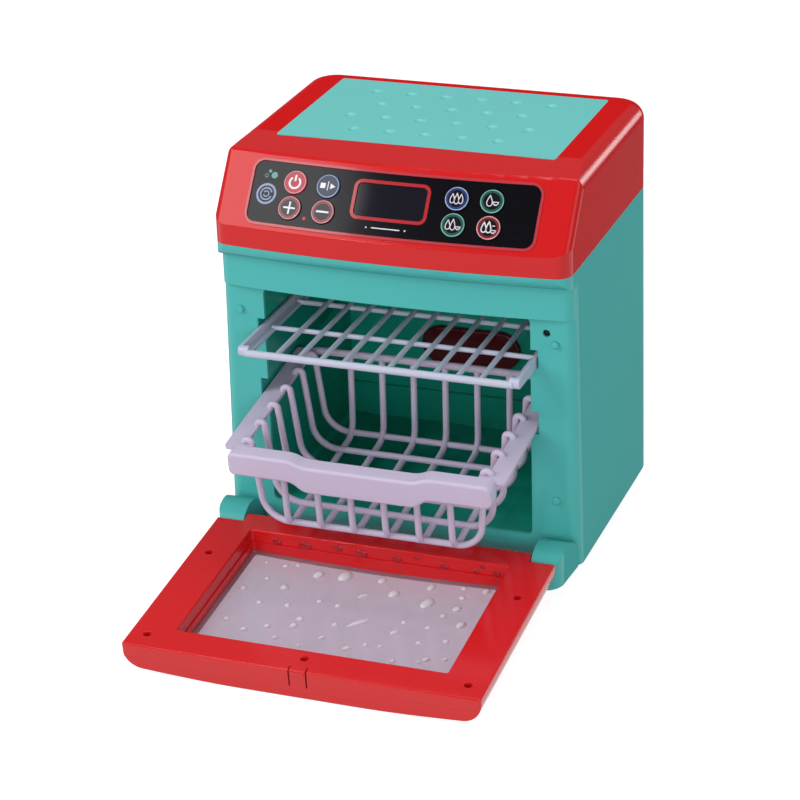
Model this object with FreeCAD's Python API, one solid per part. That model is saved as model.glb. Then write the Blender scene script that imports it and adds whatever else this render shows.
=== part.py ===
import FreeCAD, Part
import math
import os

# Toy dishwasher with an open drop-down door, one wire shelf and one wire basket.
# Lengths in mm, +Z up, front is -Y, origin on the floor under the middle of the body.

# Cabinet body
HALF_W = 124.0
TOP_HALF_W = 120.4
BACK_Y = 101.0
BACK_R = 29.0
TOP_BACK_R = 21.0
FRAME_Y = -81.0
FRAME_R = 8.5
WALL = 2.4
BODY_Z = 15.0
SEAM_Z = 221.2

# Bowed front, the same curve for the red housing, the lip and the band
BOW_AXIS_Y = 919.7
BOW_SPAN = 9.0
FRONT_Y = -98.8
FRONT_R = 11.0
LIP_H = 9.5
BAND_Y = -89.8
BAND_Z = 189.4
BAND_R = 8.0
BAND_DEEP = 30.0
LIP_MID_Y = 0.29
LIP_MID_Z = 0.71

# Opening in the frame and the tub behind it
OPEN_X = 91.4
OPEN_R = 4.0
SILL_Z = 34.3
LINTEL_Z = 188.3
TUB_BACK_Y = 69.9
TUB_WALL = 2.2
TUB_STEP_Z = 58.0
TUB_STEP = 3.0
GROOVE_X = 96.5
FLANGE = 7.5
APRON_Z = 25.0
APRON_SET = 4.0
APRON_T = 2.4
APRON_BACK = 0.8
NOTCH_SHELF = (154.0, 166.5)
NOTCH_BASKET = (107.5, 123.4)
PIPS = ((108.0, 171.9), (108.2, 61.9))
PIP_R = 2.6
PIP_H = 2.3
SWITCH_X = 102.2
SWITCH_Z = 179.0
SWITCH_R = 2.5

# Hinge of the door, axis along X
HINGE_Y = -99.6
HINGE_Z = 19.9
HINGE_IN = 100.6
PIN_R = 2.0
PIN_RUN = 0.05
PIN_IN = 90.0
PIN_OUT = 116.0
KNUCKLE_R = 19.0
KNUCKLE_Y = -98.6
KNUCKLE_Z = 20.6
KNUCKLE_TIP = (112.5, -117.6)
KNUCKLE_TURN = (118.3, -112.4)
KNUCKLE_SIDE = (120.6, -103.5)
KNUCKLE_SIDE_Y = -67.0
KNUCKLE_AHEAD = 8.0
KNUCKLE_SET = 0.8

# Door, drawn flat: t runs from the hinge axis to the free edge, d up from the axis
DOOR_TILT = 5.0
DOOR_X = 118.1
DOOR_MID_X = 99.9
DOOR_T = 168.4
DOOR_MID_T = 6.1
DOOR_CUT_R = 21.0
DOOR_D = 15.9
DOOR_OUT = -5.0
DOOR_BOW_R = 1560.0
DOOR_SIDE_R = 13.5
DOOR_PLAN_R = 1.5
DOOR_TOE_R = 1.5
DOOR_WALL = 2.2
DOOR_SPLIT = 6.8
DOOR_EDGE_R = 1.2
BARREL_R = 5.0
WIN_X = 89.8
WIN_T0 = 25.0
WIN_T1 = 146.2
WIN_R = 1.5
WIN_STEP = 0.9
WIN_LIP = 2.2
WIN_LIP_T = 0.8
PANE_T = 2.2
DOOR_SCREWS = ((105.9, 58.0), (-105.9, 58.0), (105.9, 155.4), (-105.9, 155.4), (0.0, 155.2))
WELL_R = 2.6
WELL_DEPTH = 6.0
DOOR_BOSS_R = 4.6
DOOR_SCREW_HEAD_R = 2.4
DOOR_SCREW_HEAD_T = 1.6
DOOR_SCREW_R = 1.2
DOOR_SCREW_L = 8.0
LATCH_X = 5.2
SLIT = 1.0
SLIT_DEPTH = 12.0
HOOK_H = 0.6
HOOK_W = 2.6

# Red top housing and the teal panel in its roof
ROOF_Z = 279.5
PANEL_X = 95.3
PANEL_Y0 = -37.1
PANEL_Y1 = 85.2
PANEL_T = 3.0
PANEL_SEAT = 4.0
ROOF_ROLL_R = 10.5
ROOF_AHEAD = 20.0
CREST_Y = -67.9
CREST_Z = 276.4
SLOPE_Y = -97.8
SLOPE_Z = 236.4
SLOPE_SIDE_R = 6.0
CREST_R = 3.0
RIDGE_R = 1.2
HOUSING_WALL = 2.6
DIMPLE_ROWS = ((63.2, 6), (38.0, 5), (12.2, 6), (-13.8, 5))
DIMPLE_PITCH = 24.8
DIMPLE_R = 4.2
DIMPLE_DEPTH = 1.6

# Control panel on the slope: x across, u up the slope from its lower edge
FASCIA_X = 96.5
FASCIA_U = (3.3, 44.6)
FASCIA_R = 6.5
FASCIA_T = 2.0
FASCIA_TOP = -0.2
FASCIA_LEDGE = 2.0
FASCIA_LEDGE_T = 2.4
SEAT_GAP = 0.08
RIM_W = 1.8
RIM_TOP = 0.5
BUTTONS = (
    ("button_power", -67.7, 32.2),
    ("button_start_stop", -44.2, 32.2),
    ("button_plus", -67.7, 15.0),
    ("button_minus", -44.2, 15.0),
    ("button_rinse", 44.2, 32.2),
    ("button_quick", 67.5, 32.2),
    ("button_normal", 44.2, 15.0),
    ("button_intense", 67.5, 15.0),
)
CAP_R = 7.9
CAP_GAP = 0.3
CAP_TOP = 1.2
CAP_EDGE_R = 0.9
CAP_WALL = 1.4
CAP_SKIRT = -4.6
CAP_STEM_R = 2.6
CAP_STEM_W = -7.0
CAP_LUG_R = 9.4
CAP_LUG_U = 4.0
CAP_LUG_T = 1.2
CAP_LUG_DROP = 0.3
DISPLAY_X = 25.8
DISPLAY_U = (13.2, 39.8)
DISPLAY_R = 5.5
DISPLAY_RING = 2.2
DISPLAY_RISE = 0.35
DISPLAY_SINK = 0.5
MODULE_X = 20.0
MODULE_U = (16.0, 36.0)
MODULE_T = 6.0
LED_X = -56.2
LED_U = 9.6
LED_R = 1.5
LED_TOP = 0.3
BOARD_DEPTH = 13.0
BOARD_T = 1.6
BOARD_X = 85.5
BOARD_U = (5.0, 40.0)
BOARD_POSTS = ((-81.0, 11.5), (-81.0, 36.0), (81.0, 11.5), (81.0, 36.0))
POST_R = 3.0
POST_TOP = -4.4
PAD_T = 1.2
PAD_DOME_R = 4.0
PAD_DOME_H = 1.6

# Upper shelf, level, runs on grooves in the tub walls
SHELF_Y = -116.1
SHELF_Z = 156.9
SHELF_PITCH = 46.0
SHELF_BARS = 4
SHELF_BAR_R = 2.5
SHELF_ROD_R = 1.7
SHELF_ROD_X = (7.7, 23.1, 38.5, 53.9, 69.3)
SHELF_EDGE_X = 88.6
SHELF_BAR_X = 91.0
SHELF_CROSS_DROP = 0.7
SHELF_ROD_UP = 0.7
RAIL_OUT_X = 95.3
RAIL_WALL = 2.1
RAIL_Z0 = 154.3
RAIL_Z1 = 161.2
RAIL_T = 2.2
RAIL_Y0 = -117.6
RAIL_Y1 = 26.0

# Lower basket, drawn level about its front reference and tilted nose down
BASKET_Y = -100.6
BASKET_Z = 110.3
BASKET_TILT = 7.0
WIRE_R = 2.2
RIM_X0 = 82.5
RIM_X1 = 95.4
RIM_T = 2.4
RIM_V0 = -47.7
RIM_V1 = 72.0
TAIL_R = 2.6
TAIL_V = 82.0
TAIL_W = -1.0
TAIL_CORNER = 12.0
HOOP_V = (-40.8, -18.3, 4.2, 26.7, 49.2, 71.7)
HOOP_TOP_X = 78.9
HOOP_LAND_X = 84.1
HOOP_CROWN_R = 2.6
HOOP_CROWN_W = 2.1
HOOP_LOW_X = 74.3
HOOP_W = -57.2
HOOP_R = 18.0
ROD_X = (11.35, 34.05, 56.75)
ROD_W = -59.3
ROD_V0 = -45.5
ROD_V1 = 74.0
ROD_R = 12.0
FRONT_RAIL_W = -6.0
BRACKET_X = (79.5, 86.5)

# Basket handle
HANDLE_X = 89.0
HANDLE_V0 = -59.2
HANDLE_V1 = -47.7
HANDLE_TOP = 2.0
HANDLE_BOT = -14.3
HANDLE_MID_TOP = -1.7
HANDLE_MID_BOT = -21.0
HANDLE_MID_X = 34.0
HANDLE_S_X = 50.0
HANDLE_WALL = 2.2
HANDLE_END_R = 4.0
HANDLE_EDGE_R = 2.0

# Basket grooves
GROOVE_FLOOR_W = -2.7
GROOVE_TOP_W = 10.3

# Plinth, rear cover, battery box and the small fittings
PLINTH_X = 100.0
PLINTH_Y0 = -48.0
PLINTH_Y1 = 82.0
PLINTH_R = 12.0
PLATE_T = 2.4
BASE_GAP = 0.15
FOOT_R = 8.0
FOOT_T = 1.8
FOOT_XY = ((84.0, -34.0), (-84.0, -34.0), (84.0, 66.0), (-84.0, 66.0))
BASE_SCREW_XY = ((111.0, -45.0), (-111.0, -45.0), (111.0, 55.0), (-111.0, 55.0))
SCREW_HEAD_R = 3.0
SCREW_HEAD_T = 1.8
SCREW_R = 1.4
SCREW_L = 11.0
BOSS_R = 3.6
BOSS_H = 16.0
COVER_X = 80.0
COVER_Z = (44.0, 196.0)
COVER_R = 6.0
COVER_T = 2.4
COVER_LEDGE = 6.0
COVER_GAP = 0.2
HATCH_X = 28.6
HATCH_Z = (60.0, 127.0)
HATCH_T = 2.0
HATCH_LEDGE = 2.0
CELL_R = 7.1
CELL_L = 48.5
CELL_NUB_R = 2.7
CELL_NUB = 1.4
CELL_Z = (70.0, 85.5, 101.0, 116.5)
CELL_Y = 87.5
CONTACT_T = 0.6
SPRING_R = 3.0
SPEAKER_R = 19.0
SPEAKER_T = 9.0
SPEAKER_Z = 162.0
LAMP_X = 36.5
LAMP_R = 14.3
LAMP_Z = 94.5
LAMP_Y = 66.2
LAMP_BOARD_T = 1.6

os.makedirs("parts", exist_ok=True)

V = FreeCAD.Vector
X_AXIS = V(1, 0, 0)
Y_AXIS = V(0, 1, 0)
Z_AXIS = V(0, 0, 1)
SIDES = (-1, 1)


# Shape helpers

def box(x0, x1, y0, y1, z0, z1):
    return Part.makeBox(x1 - x0, y1 - y0, z1 - z0, V(x0, y0, z0))


def cyl(r, h, p, d=Z_AXIS):
    return Part.makeCylinder(r, h, p, d)


def placed(shape, p, axis=X_AXIS, angle=0.0):
    out = shape.copy()
    out.Placement = FreeCAD.Placement(p, FreeCAD.Rotation(axis, angle))
    return out


def fuse(shapes):
    return shapes[0].multiFuse(shapes[1:]).removeSplitter()


def cut(shape, tools):
    return shape.cut(Part.makeCompound(tools)).removeSplitter()


def face_of(points):
    return Part.Face(Part.makePolygon(list(points) + [points[0]]))


def rounded_wire(points, radii):
    # Closed outline with each corner rounded by its own radius, 0 for a sharp one.
    count = len(points)
    starts = []
    ends = []
    mids = []
    for i in range(count):
        p = points[i]
        r = radii[i]
        if r == 0:
            starts.append(p)
            ends.append(p)
            mids.append(None)
            continue
        a, m, b = corner_arc(points[i - 1], p, points[(i + 1) % count], r)
        starts.append(a)
        mids.append(m)
        ends.append(b)
    edges = []
    for i in range(count):
        if mids[i] is not None:
            edges.append(Part.Arc(starts[i], mids[i], ends[i]).toShape())
        j = (i + 1) % count
        if ends[i].distanceToPoint(starts[j]) > 1e-6:
            edges.append(Part.makeLine(ends[i], starts[j]))
    return Part.Wire(edges)


def corner_arc(before, corner, after, r):
    u = (before - corner).normalize()
    w = (after - corner).normalize()
    half = u.getAngle(w) / 2.0
    reach = r / math.tan(half)
    centre = corner + (u + w).normalize() * (r / math.sin(half))
    a = corner + u * reach
    b = corner + w * reach
    m = centre + (corner - centre).normalize() * r
    return a, m, b


def rect_face(x0, x1, y0, y1, r, z=0.0):
    corners = [V(x0, y0, z), V(x1, y0, z), V(x1, y1, z), V(x0, y1, z)]
    return Part.Face(rounded_wire(corners, [r] * 4))


def slab(x0, x1, y0, y1, z0, z1, r):
    return rect_face(x0, x1, y0, y1, r, z0).extrude(V(0, 0, z1 - z0))


def wall_slab(x0, x1, z0, z1, y0, y1, r):
    corners = [V(x0, y0, z0), V(x1, y0, z0), V(x1, y0, z1), V(x0, y0, z1)]
    return Part.Face(rounded_wire(corners, [r] * 4)).extrude(V(0, y1 - y0, 0))


def wire_rod(points, bends, r):
    # Round rod swept along straight runs joined by bends of the given radii.
    edges = []
    last = points[0]
    for i in range(1, len(points) - 1):
        a, m, b = corner_arc(points[i - 1], points[i], points[i + 1], bends[i - 1])
        if last.distanceToPoint(a) > 1e-6:
            edges.append(Part.makeLine(last, a))
        edges.append(Part.Arc(a, m, b).toShape())
        last = b
    if last.distanceToPoint(points[-1]) > 1e-6:
        edges.append(Part.makeLine(last, points[-1]))
    path = Part.Wire(edges)
    ring = Part.Wire([Part.makeCircle(r, points[0], points[1] - points[0])])
    return path.makePipeShell([ring], True, False)


def bar(p, q, r):
    return cyl(r, p.distanceToPoint(q), p, q - p)


def fillet_where(shape, radius, test):
    edges = [e for e in shape.Edges if test(e)]
    return shape.makeFillet(radius, edges)


def midpoint(edge):
    return edge.valueAt((edge.FirstParameter + edge.LastParameter) / 2.0)


def bow_turn(profile):
    # Turns a profile drawn in the X = 0 plane about the upright bow axis.
    foot = V(0, BOW_AXIS_Y, 0)
    start = profile.copy()
    start.rotate(foot, Z_AXIS, -BOW_SPAN)
    return start.revolve(foot, Z_AXIS, 2 * BOW_SPAN)


def bow_shift(x):
    # How far back the bowed front has gone at a distance x from the middle.
    r = BOW_AXIS_Y - FRONT_Y
    return r - math.sqrt(r * r - x * x)


# Outline of the body in plan, and the drafted body between two such outlines

def plan_outline(front, front_r, half_x, back_y, back_r, z):
    corners = [V(-half_x, front, z), V(half_x, front, z), V(half_x, back_y, z), V(-half_x, back_y, z)]
    return rounded_wire(corners, [front_r, front_r, back_r, back_r])


def half_width(z):
    # The sides lean in evenly from the bottom of the body to the seam.
    return HALF_W + (TOP_HALF_W - HALF_W) * (z - BODY_Z) / (SEAM_Z - BODY_Z)


def body_outline(front, inset, z):
    back_r = BACK_R + (TOP_BACK_R - BACK_R) * (z - BODY_Z) / (SEAM_Z - BODY_Z)
    return plan_outline(front, FRAME_R - min(inset, 4.0), half_width(z) - inset, BACK_Y - inset, back_r - inset, z)


def drafted_body(front, inset, z0, z1):
    return Part.makeLoft([body_outline(front, inset, z0), body_outline(front, inset, z1)], True, True)


def bowed_prism(front, corner_r, inset, z0, z1):
    # Bowed front, corners rounded where the bow meets the sides.
    half_x = TOP_HALF_W - inset
    edge_y = front + inset + bow_shift(half_x)
    wire = plan_outline(edge_y - 12.0, 1.0, half_x, BACK_Y - inset, TOP_BACK_R - inset, z0)
    solid = Part.Face(wire).extrude(V(0, 0, z1 - z0))
    keep = bow_turn(face_of([
        V(0, front + inset, z0),
        V(0, BACK_Y + 40.0, z0),
        V(0, BACK_Y + 40.0, z1),
        V(0, front + inset, z1),
    ]))
    solid = solid.common(keep)

    def front_corner(e):
        m = midpoint(e)
        upright = abs(e.tangentAt(e.FirstParameter).z) > 0.99
        return upright and abs(abs(m.x) - half_x) < 0.5 and m.y < 0

    return fillet_where(solid, max(corner_r - inset, 1.0), front_corner)


# Cabinet shell with lip, band, knuckles and the framed opening

def lip_solid(inset):
    # Overhanging lip under the red housing, rounded back to the band.
    y_band = BAND_Y + inset
    y_front = FRONT_Y + inset
    lip_z = SEAM_Z - LIP_H + inset
    deep = FRAME_Y + BAND_DEEP
    mid_y = y_front + LIP_MID_Y * (y_band - y_front)
    mid = V(0, mid_y, SEAM_Z - LIP_MID_Z * (SEAM_Z - lip_z))
    edges = [
        Part.makeLine(V(0, deep, SEAM_Z), V(0, y_front, SEAM_Z)),
        Part.Arc(V(0, y_front, SEAM_Z), mid, V(0, y_band, lip_z)).toShape(),
        Part.makeLine(V(0, y_band, lip_z), V(0, deep, lip_z)),
        Part.makeLine(V(0, deep, lip_z), V(0, deep, SEAM_Z)),
    ]
    solid = bow_turn(Part.Face(Part.Wire(edges)))
    return solid.common(bowed_prism(FRONT_Y, FRONT_R, inset, lip_z, SEAM_Z))


def band_solid(inset):
    low = BAND_Z + inset
    solid = bowed_prism(BAND_Y, BAND_R, inset, low, SEAM_Z)
    keep = box(-HALF_W, HALF_W, BAND_Y - 5, FRAME_Y + BAND_DEEP, low, SEAM_Z)
    return solid.common(keep).fuse(lip_solid(inset))


def knuckle(side):
    # Rounded hinge block, its outer side curving in towards the front.
    round_part = cyl(KNUCKLE_R, HALF_W, V(0, KNUCKLE_Y, KNUCKLE_Z), X_AXIS)
    filler = box(0, HALF_W, KNUCKLE_Y, FRAME_Y + 1, BODY_Z - 10, KNUCKLE_Z)
    body = round_part.fuse(filler).common(box(0, HALF_W, -140, FRAME_Y + 1, BODY_Z, 80))
    x0 = HINGE_IN
    ahead = KNUCKLE_TIP[1] - KNUCKLE_AHEAD
    back = V(HALF_W - KNUCKLE_SET, KNUCKLE_SIDE_Y, 0)
    tip = V(KNUCKLE_TIP[0], KNUCKLE_TIP[1], 0)
    turn = V(KNUCKLE_TURN[0], KNUCKLE_TURN[1], 0)
    flank = V(KNUCKLE_SIDE[0], KNUCKLE_SIDE[1], 0)
    edges = [
        Part.makeLine(V(x0, KNUCKLE_SIDE_Y, 0), V(x0, ahead, 0)),
        Part.makeLine(V(x0, ahead, 0), V(tip.x - KNUCKLE_AHEAD, ahead, 0)),
        Part.makeLine(V(tip.x - KNUCKLE_AHEAD, ahead, 0), tip),
        Part.Arc(tip, turn, flank).toShape(),
        Part.makeLine(flank, back),
        Part.makeLine(back, V(x0, KNUCKLE_SIDE_Y, 0)),
    ]
    plan = Part.Face(Part.Wire(edges)).extrude(V(0, 0, 80))
    solid = body.common(plan)
    if side < 0:
        solid = solid.mirror(V(0, 0, 0), X_AXIS)
    return solid


def cabinet_shell():
    outer = fuse([drafted_body(FRAME_Y, 0.0, BODY_Z, SEAM_Z), band_solid(0.0)])
    inner = fuse([drafted_body(FRAME_Y + WALL, WALL, BODY_Z, SEAM_Z), band_solid(WALL)])
    shell = outer.cut(inner)
    shell = shell.multiFuse([knuckle(s) for s in SIDES])
    apron = face_of([
        V(0, FRAME_Y - 1, APRON_Z),
        V(0, FRAME_Y, APRON_Z),
        V(0, FRAME_Y + APRON_SET, BODY_Z),
        V(0, FRAME_Y + APRON_SET, BODY_Z - 1),
        V(0, FRAME_Y - 1, BODY_Z - 1),
    ]).extrude(V(2 * HINGE_IN, 0, 0))
    apron.translate(V(-HINGE_IN, 0, 0))
    back_y = FRAME_Y + APRON_SET + APRON_BACK - APRON_T
    backing = box(-HINGE_IN, HINGE_IN, back_y, back_y + APRON_T, BODY_Z, APRON_Z)
    shell = shell.fuse(backing)
    tools = [apron, opening_cutter()]
    tools.append(wall_slab(-COVER_X, COVER_X, COVER_Z[0], COVER_Z[1], BACK_Y - COVER_T, BACK_Y + 1, COVER_R))
    tools.append(wall_slab(
        -COVER_X + COVER_LEDGE, COVER_X - COVER_LEDGE,
        COVER_Z[0] + COVER_LEDGE, COVER_Z[1] - COVER_LEDGE,
        BACK_Y - 8, BACK_Y + 1, COVER_R,
    ))
    for s in SIDES:
        tools.append(cyl(PIN_R, PIN_OUT - HINGE_IN, V(s * HINGE_IN, HINGE_Y, HINGE_Z), V(s, 0, 0)))
    tools.append(cyl(SWITCH_R, WALL + 2, V(SWITCH_X, FRAME_Y - 1, SWITCH_Z), Y_AXIS))
    for x, z in cover_holes():
        tools.append(cyl(SCREW_R, 12, V(x, BACK_Y - 10, z), Y_AXIS))
    ledge = cover_ledge()
    shell = shell.fuse(ledge)
    shell = cut(shell, tools)
    extras = [base_boss(x, y) for x, y in BASE_SCREW_XY]
    for x, z in PIPS:
        for s in SIDES:
            extras.append(pip(s * x, z))
    return fuse([shell] + extras)


def cover_ledge():
    # Inner rim behind the rear cover, thick enough to take its screws.
    return wall_slab(
        -COVER_X - 3, COVER_X + 3, COVER_Z[0] - 3, COVER_Z[1] + 3,
        BACK_Y - 2 * WALL, BACK_Y - WALL, COVER_R,
    )


def pip(x, z):
    y = FRAME_Y - PIP_H
    dome = cyl(PIP_R, PIP_H, V(x, y, z), Y_AXIS)
    return dome.makeFillet(1.2, [e for e in dome.Edges if abs(midpoint(e).y - y) < 0.1])


def opening_cutter():
    y0 = FRAME_Y - 1
    y1 = FRAME_Y + WALL + 1
    parts = [wall_slab(-OPEN_X, OPEN_X, SILL_Z, LINTEL_Z, y0, y1, OPEN_R)]
    for z0, z1 in (NOTCH_SHELF, NOTCH_BASKET):
        parts.append(box(-GROOVE_X, GROOVE_X, y0, y1, z0, z1))
    return fuse(parts)


def base_boss(x, y):
    s = 1 if x > 0 else -1
    post = cyl(BOSS_R, BOSS_H, V(x, y, BODY_Z + PLATE_T))
    rib_x = sorted((x, s * (HALF_W - WALL + 0.2)))
    rib = box(rib_x[0], rib_x[1], y - 1, y + 1, BODY_Z + PLATE_T, BODY_Z + PLATE_T + BOSS_H)
    hole = cyl(SCREW_R, BOSS_H, V(x, y, BODY_Z + PLATE_T))
    return post.fuse(rib).cut(hole)


# Tub liner

def basket_frame(shape):
    return placed(shape, V(0, BASKET_Y, BASKET_Z), X_AXIS, BASKET_TILT)


def grooves(inset, y0, y1):
    # Pairs of channels: a level one for the shelf and an inclined one for the basket.
    x = GROOVE_X + inset
    level = box(-x, x, y0, y1, NOTCH_SHELF[0] - inset, NOTCH_SHELF[1] + inset)
    run = 400.0
    tilted = basket_frame(box(-x, x, -run / 2, run, GROOVE_FLOOR_W - inset, GROOVE_TOP_W + inset))
    tilted = tilted.common(box(-x, x, y0, y1, 0, SEAM_Z))
    return [level, tilted]


def tub_liner():
    y0 = FRAME_Y + WALL
    w = TUB_WALL
    step_y = TUB_BACK_Y - TUB_STEP
    outer = [wall_slab(-OPEN_X - w, OPEN_X + w, SILL_Z - w, LINTEL_Z + w, y0, TUB_BACK_Y + w, OPEN_R + w)]
    outer += grooves(w, y0, TUB_BACK_Y + w)
    outer.append(box(
        -OPEN_X - FLANGE, OPEN_X + FLANGE, y0, y0 + 2.0, SILL_Z - w - 2.0, LINTEL_Z + w - 1.2,
    ))
    inner = [wall_slab(-OPEN_X, OPEN_X, SILL_Z, LINTEL_Z, y0, TUB_BACK_Y, OPEN_R)]
    inner += grooves(0.0, y0, TUB_BACK_Y)
    step = box(-OPEN_X - 0.5, OPEN_X + 0.5, step_y, TUB_BACK_Y + 0.5, SILL_Z - 0.5, TUB_STEP_Z)
    tub = fuse(outer).cut(fuse(inner)).fuse(step)
    seat = wall_slab(
        -LAMP_X + 1.5, LAMP_X - 1.5, LAMP_Z - LAMP_R + 1.5, LAMP_Z + LAMP_R - 1.5,
        step_y, TUB_BACK_Y + w + 1, LAMP_R - 1.6,
    )
    return tub.cut(seat).removeSplitter()


def interior_lamp_lens():
    dome = wall_slab(-LAMP_X, LAMP_X, LAMP_Z - LAMP_R, LAMP_Z + LAMP_R, LAMP_Y, TUB_BACK_Y, LAMP_R - 0.05)
    dome = dome.makeFillet(1.6, [e for e in dome.Edges if abs(midpoint(e).y - LAMP_Y) < 0.1])
    hollow = wall_slab(
        -LAMP_X + 2, LAMP_X - 2, LAMP_Z - LAMP_R + 2, LAMP_Z + LAMP_R - 2,
        LAMP_Y + 1.6, TUB_BACK_Y, LAMP_R - 2.1,
    )
    return dome.cut(hollow)


def interior_lamp_board():
    y0 = TUB_BACK_Y + TUB_WALL
    board = box(-30, 30, y0, y0 + LAMP_BOARD_T, LAMP_Z - 8, LAMP_Z + 8)
    lamps = [cyl(2.4, 4.0, V(x, y0, LAMP_Z), V(0, -1, 0)) for x in (-18, 0, 18)]
    return fuse([board] + lamps)


# Red top housing

def slope_dir():
    dy = CREST_Y - SLOPE_Y
    dz = CREST_Z - SLOPE_Z
    n = math.hypot(dy, dz)
    return dy / n, dz / n


def inset_outline(points, insets):
    # Moves each side of a closed outline in the X = 0 plane inwards by its own amount.
    count = len(points)
    lines = []
    for i in range(count):
        p = points[i]
        q = points[(i + 1) % count]
        d = (q - p).normalize()
        n = V(0, -d.z, d.y)
        lines.append((p + n * insets[i], d))
    out = []
    for i in range(count):
        p, d = lines[i - 1]
        q, e = lines[i]
        span = q - p
        k = (span.y * e.z - span.z * e.y) / (d.y * e.z - d.z * e.y)
        out.append(p + d * k)
    return out


def front_profile(inset):
    # Side view of the housing: upright band, sloped control face, gentle roof strip.
    cy, cz = slope_dir()
    ridge_z = SLOPE_Z + (FRONT_Y - SLOPE_Y) * cz / cy
    far = BACK_Y + 60
    points = [
        V(0, far, SEAM_Z - inset),
        V(0, far, ROOF_Z),
        V(0, PANEL_Y0, ROOF_Z),
        V(0, CREST_Y, CREST_Z),
        V(0, FRONT_Y, ridge_z),
        V(0, FRONT_Y, SEAM_Z - inset),
    ]
    points = inset_outline(points, [0.0, inset, inset, inset, inset, 0.0])
    radii = [0, 0, 0, CREST_R, RIDGE_R, 0]
    return Part.Face(rounded_wire(points, radii))


def roof_block(inset):
    # Body of the housing with its top edges rolled over at the sides and the back.
    front = FRONT_Y - ROOF_AHEAD
    r = TOP_BACK_R - inset
    wire = plan_outline(front, 0, TOP_HALF_W - inset, BACK_Y - inset, r, SEAM_Z)
    top = ROOF_Z - inset
    block = Part.Face(wire).extrude(V(0, 0, top - SEAM_Z))

    def rolled(e):
        m = midpoint(e)
        return abs(m.z - top) < 0.01 and m.y > front + 1

    return fillet_where(block, ROOF_ROLL_R - inset, rolled)


def slope_side_cutters(inset):
    # Rounds the upright edges between the control face and the sides.
    cy, cz = slope_dir()
    tilt = math.degrees(math.atan2(cz, cy))
    r = SLOPE_SIDE_R - inset
    x = TOP_HALF_W - inset
    n = -inset - bow_shift(x - r) * cz
    lean = math.asin((x - r) / (BOW_AXIS_Y - FRONT_Y)) * cz
    cutters = []
    for s in SIDES:
        centre = V(s * (x - r), 0, n - r)
        a = V(s * (x - r + r * math.sin(lean)), 0, centre.z + r * math.cos(lean))
        m = V(s * (x - r + r * math.sin(0.9)), 0, centre.z + r * math.cos(0.9))
        b = V(s * x, 0, centre.z)
        out = 12.0
        edges = [
            Part.Arc(a, m, b).toShape(),
            Part.makeLine(b, V(s * (x + out), 0, b.z)),
            Part.makeLine(V(s * (x + out), 0, b.z), V(s * (x + out), 0, a.z + out)),
            Part.makeLine(V(s * (x + out), 0, a.z + out), a),
        ]
        face = Part.Face(Part.Wire(edges))
        face.translate(V(0, -8, 0))
        prism = face.extrude(V(0, 90, 0))
        cutters.append(placed(prism, V(0, SLOPE_Y, SLOPE_Z), X_AXIS, tilt))
    return cutters


def housing_body(inset):
    solid = bowed_prism(FRONT_Y, FRONT_R, inset, SEAM_Z, ROOF_Z).common(bow_turn(front_profile(inset)))
    solid = solid.common(roof_block(inset))
    return solid.cut(Part.makeCompound(slope_side_cutters(inset)))


def top_housing():
    outer = housing_body(0.0)
    inner = housing_body(HOUSING_WALL)
    shell = outer.cut(inner)
    seat = slab(-PANEL_X, PANEL_X, PANEL_Y0, PANEL_Y1, ROOF_Z - PANEL_T, ROOF_Z + 5, 2.0)
    hole = slab(
        -PANEL_X + PANEL_SEAT, PANEL_X - PANEL_SEAT, PANEL_Y0 + PANEL_SEAT, PANEL_Y1 - PANEL_SEAT,
        ROOF_Z - 8, ROOF_Z + 5, 2.0,
    )
    ledge = slab(
        -PANEL_X - 2, PANEL_X + 2, PANEL_Y0 - 2, PANEL_Y1 + 2,
        ROOF_Z - PANEL_T - 2.4, ROOF_Z - PANEL_T + 0.5, 3.0,
    )
    low = FASCIA_TOP - FASCIA_T
    frame = fascia_patch(RIM_W + 1.5, low - FASCIA_LEDGE_T, low + 0.3)
    shell = fuse([shell, ledge.common(outer), frame.common(outer)])
    tools = [seat, hole, fascia_patch(RIM_W, low - SEAT_GAP, 8), fascia_patch(-FASCIA_LEDGE, -20, 8)]
    return cut(shell, tools)


# Pieces on the control slope

def slope_frame(shape, x, u, w=0.0):
    # Puts a piece drawn at the origin, Z outward, on the bowed control face.
    cy, cz = slope_dir()
    turn = math.degrees(math.asin(x / (BOW_AXIS_Y - FRONT_Y)))
    tilt = math.degrees(math.atan2(cz, cy))
    out = shape.copy()
    p = V(0, SLOPE_Y + cy * u - cz * w, SLOPE_Z + cz * u + cy * w)
    out.Placement = FreeCAD.Placement(p, FreeCAD.Rotation(X_AXIS, tilt)).multiply(out.Placement)
    out.rotate(V(0, BOW_AXIS_Y, 0), Z_AXIS, turn)
    return out


def slope_layer(w0, w1, u0, u1):
    # Bowed sheet between two depths of the control face, as wide as the bow.
    cy, cz = slope_dir()

    def at(u, w):
        return V(0, SLOPE_Y + cy * u - cz * w, SLOPE_Z + cz * u + cy * w)

    return bow_turn(face_of([at(u0, w0), at(u1, w0), at(u1, w1), at(u0, w1)]))


def slope_patch(half_x, u0, u1, r, w0, w1):
    # A rounded rectangle cut from such a sheet.
    sheet = slope_layer(w0, w1, u0, u1)
    sheet = sheet.common(box(-half_x, half_x, FRONT_Y - 60, BACK_Y, 0, ROOF_Z + 80))
    cy, cz = slope_dir()
    out = V(0, -cz, cy)

    def corner(e):
        along = abs(e.tangentAt(e.FirstParameter).dot(out)) > 0.9
        return along and abs(midpoint(e).x) > half_x - 0.5

    return fillet_where(sheet, r, corner)


def fascia_patch(grow, w0, w1):
    return slope_patch(FASCIA_X + grow, FASCIA_U[0] - grow, FASCIA_U[1] + grow, FASCIA_R + grow, w0, w1)


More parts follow.
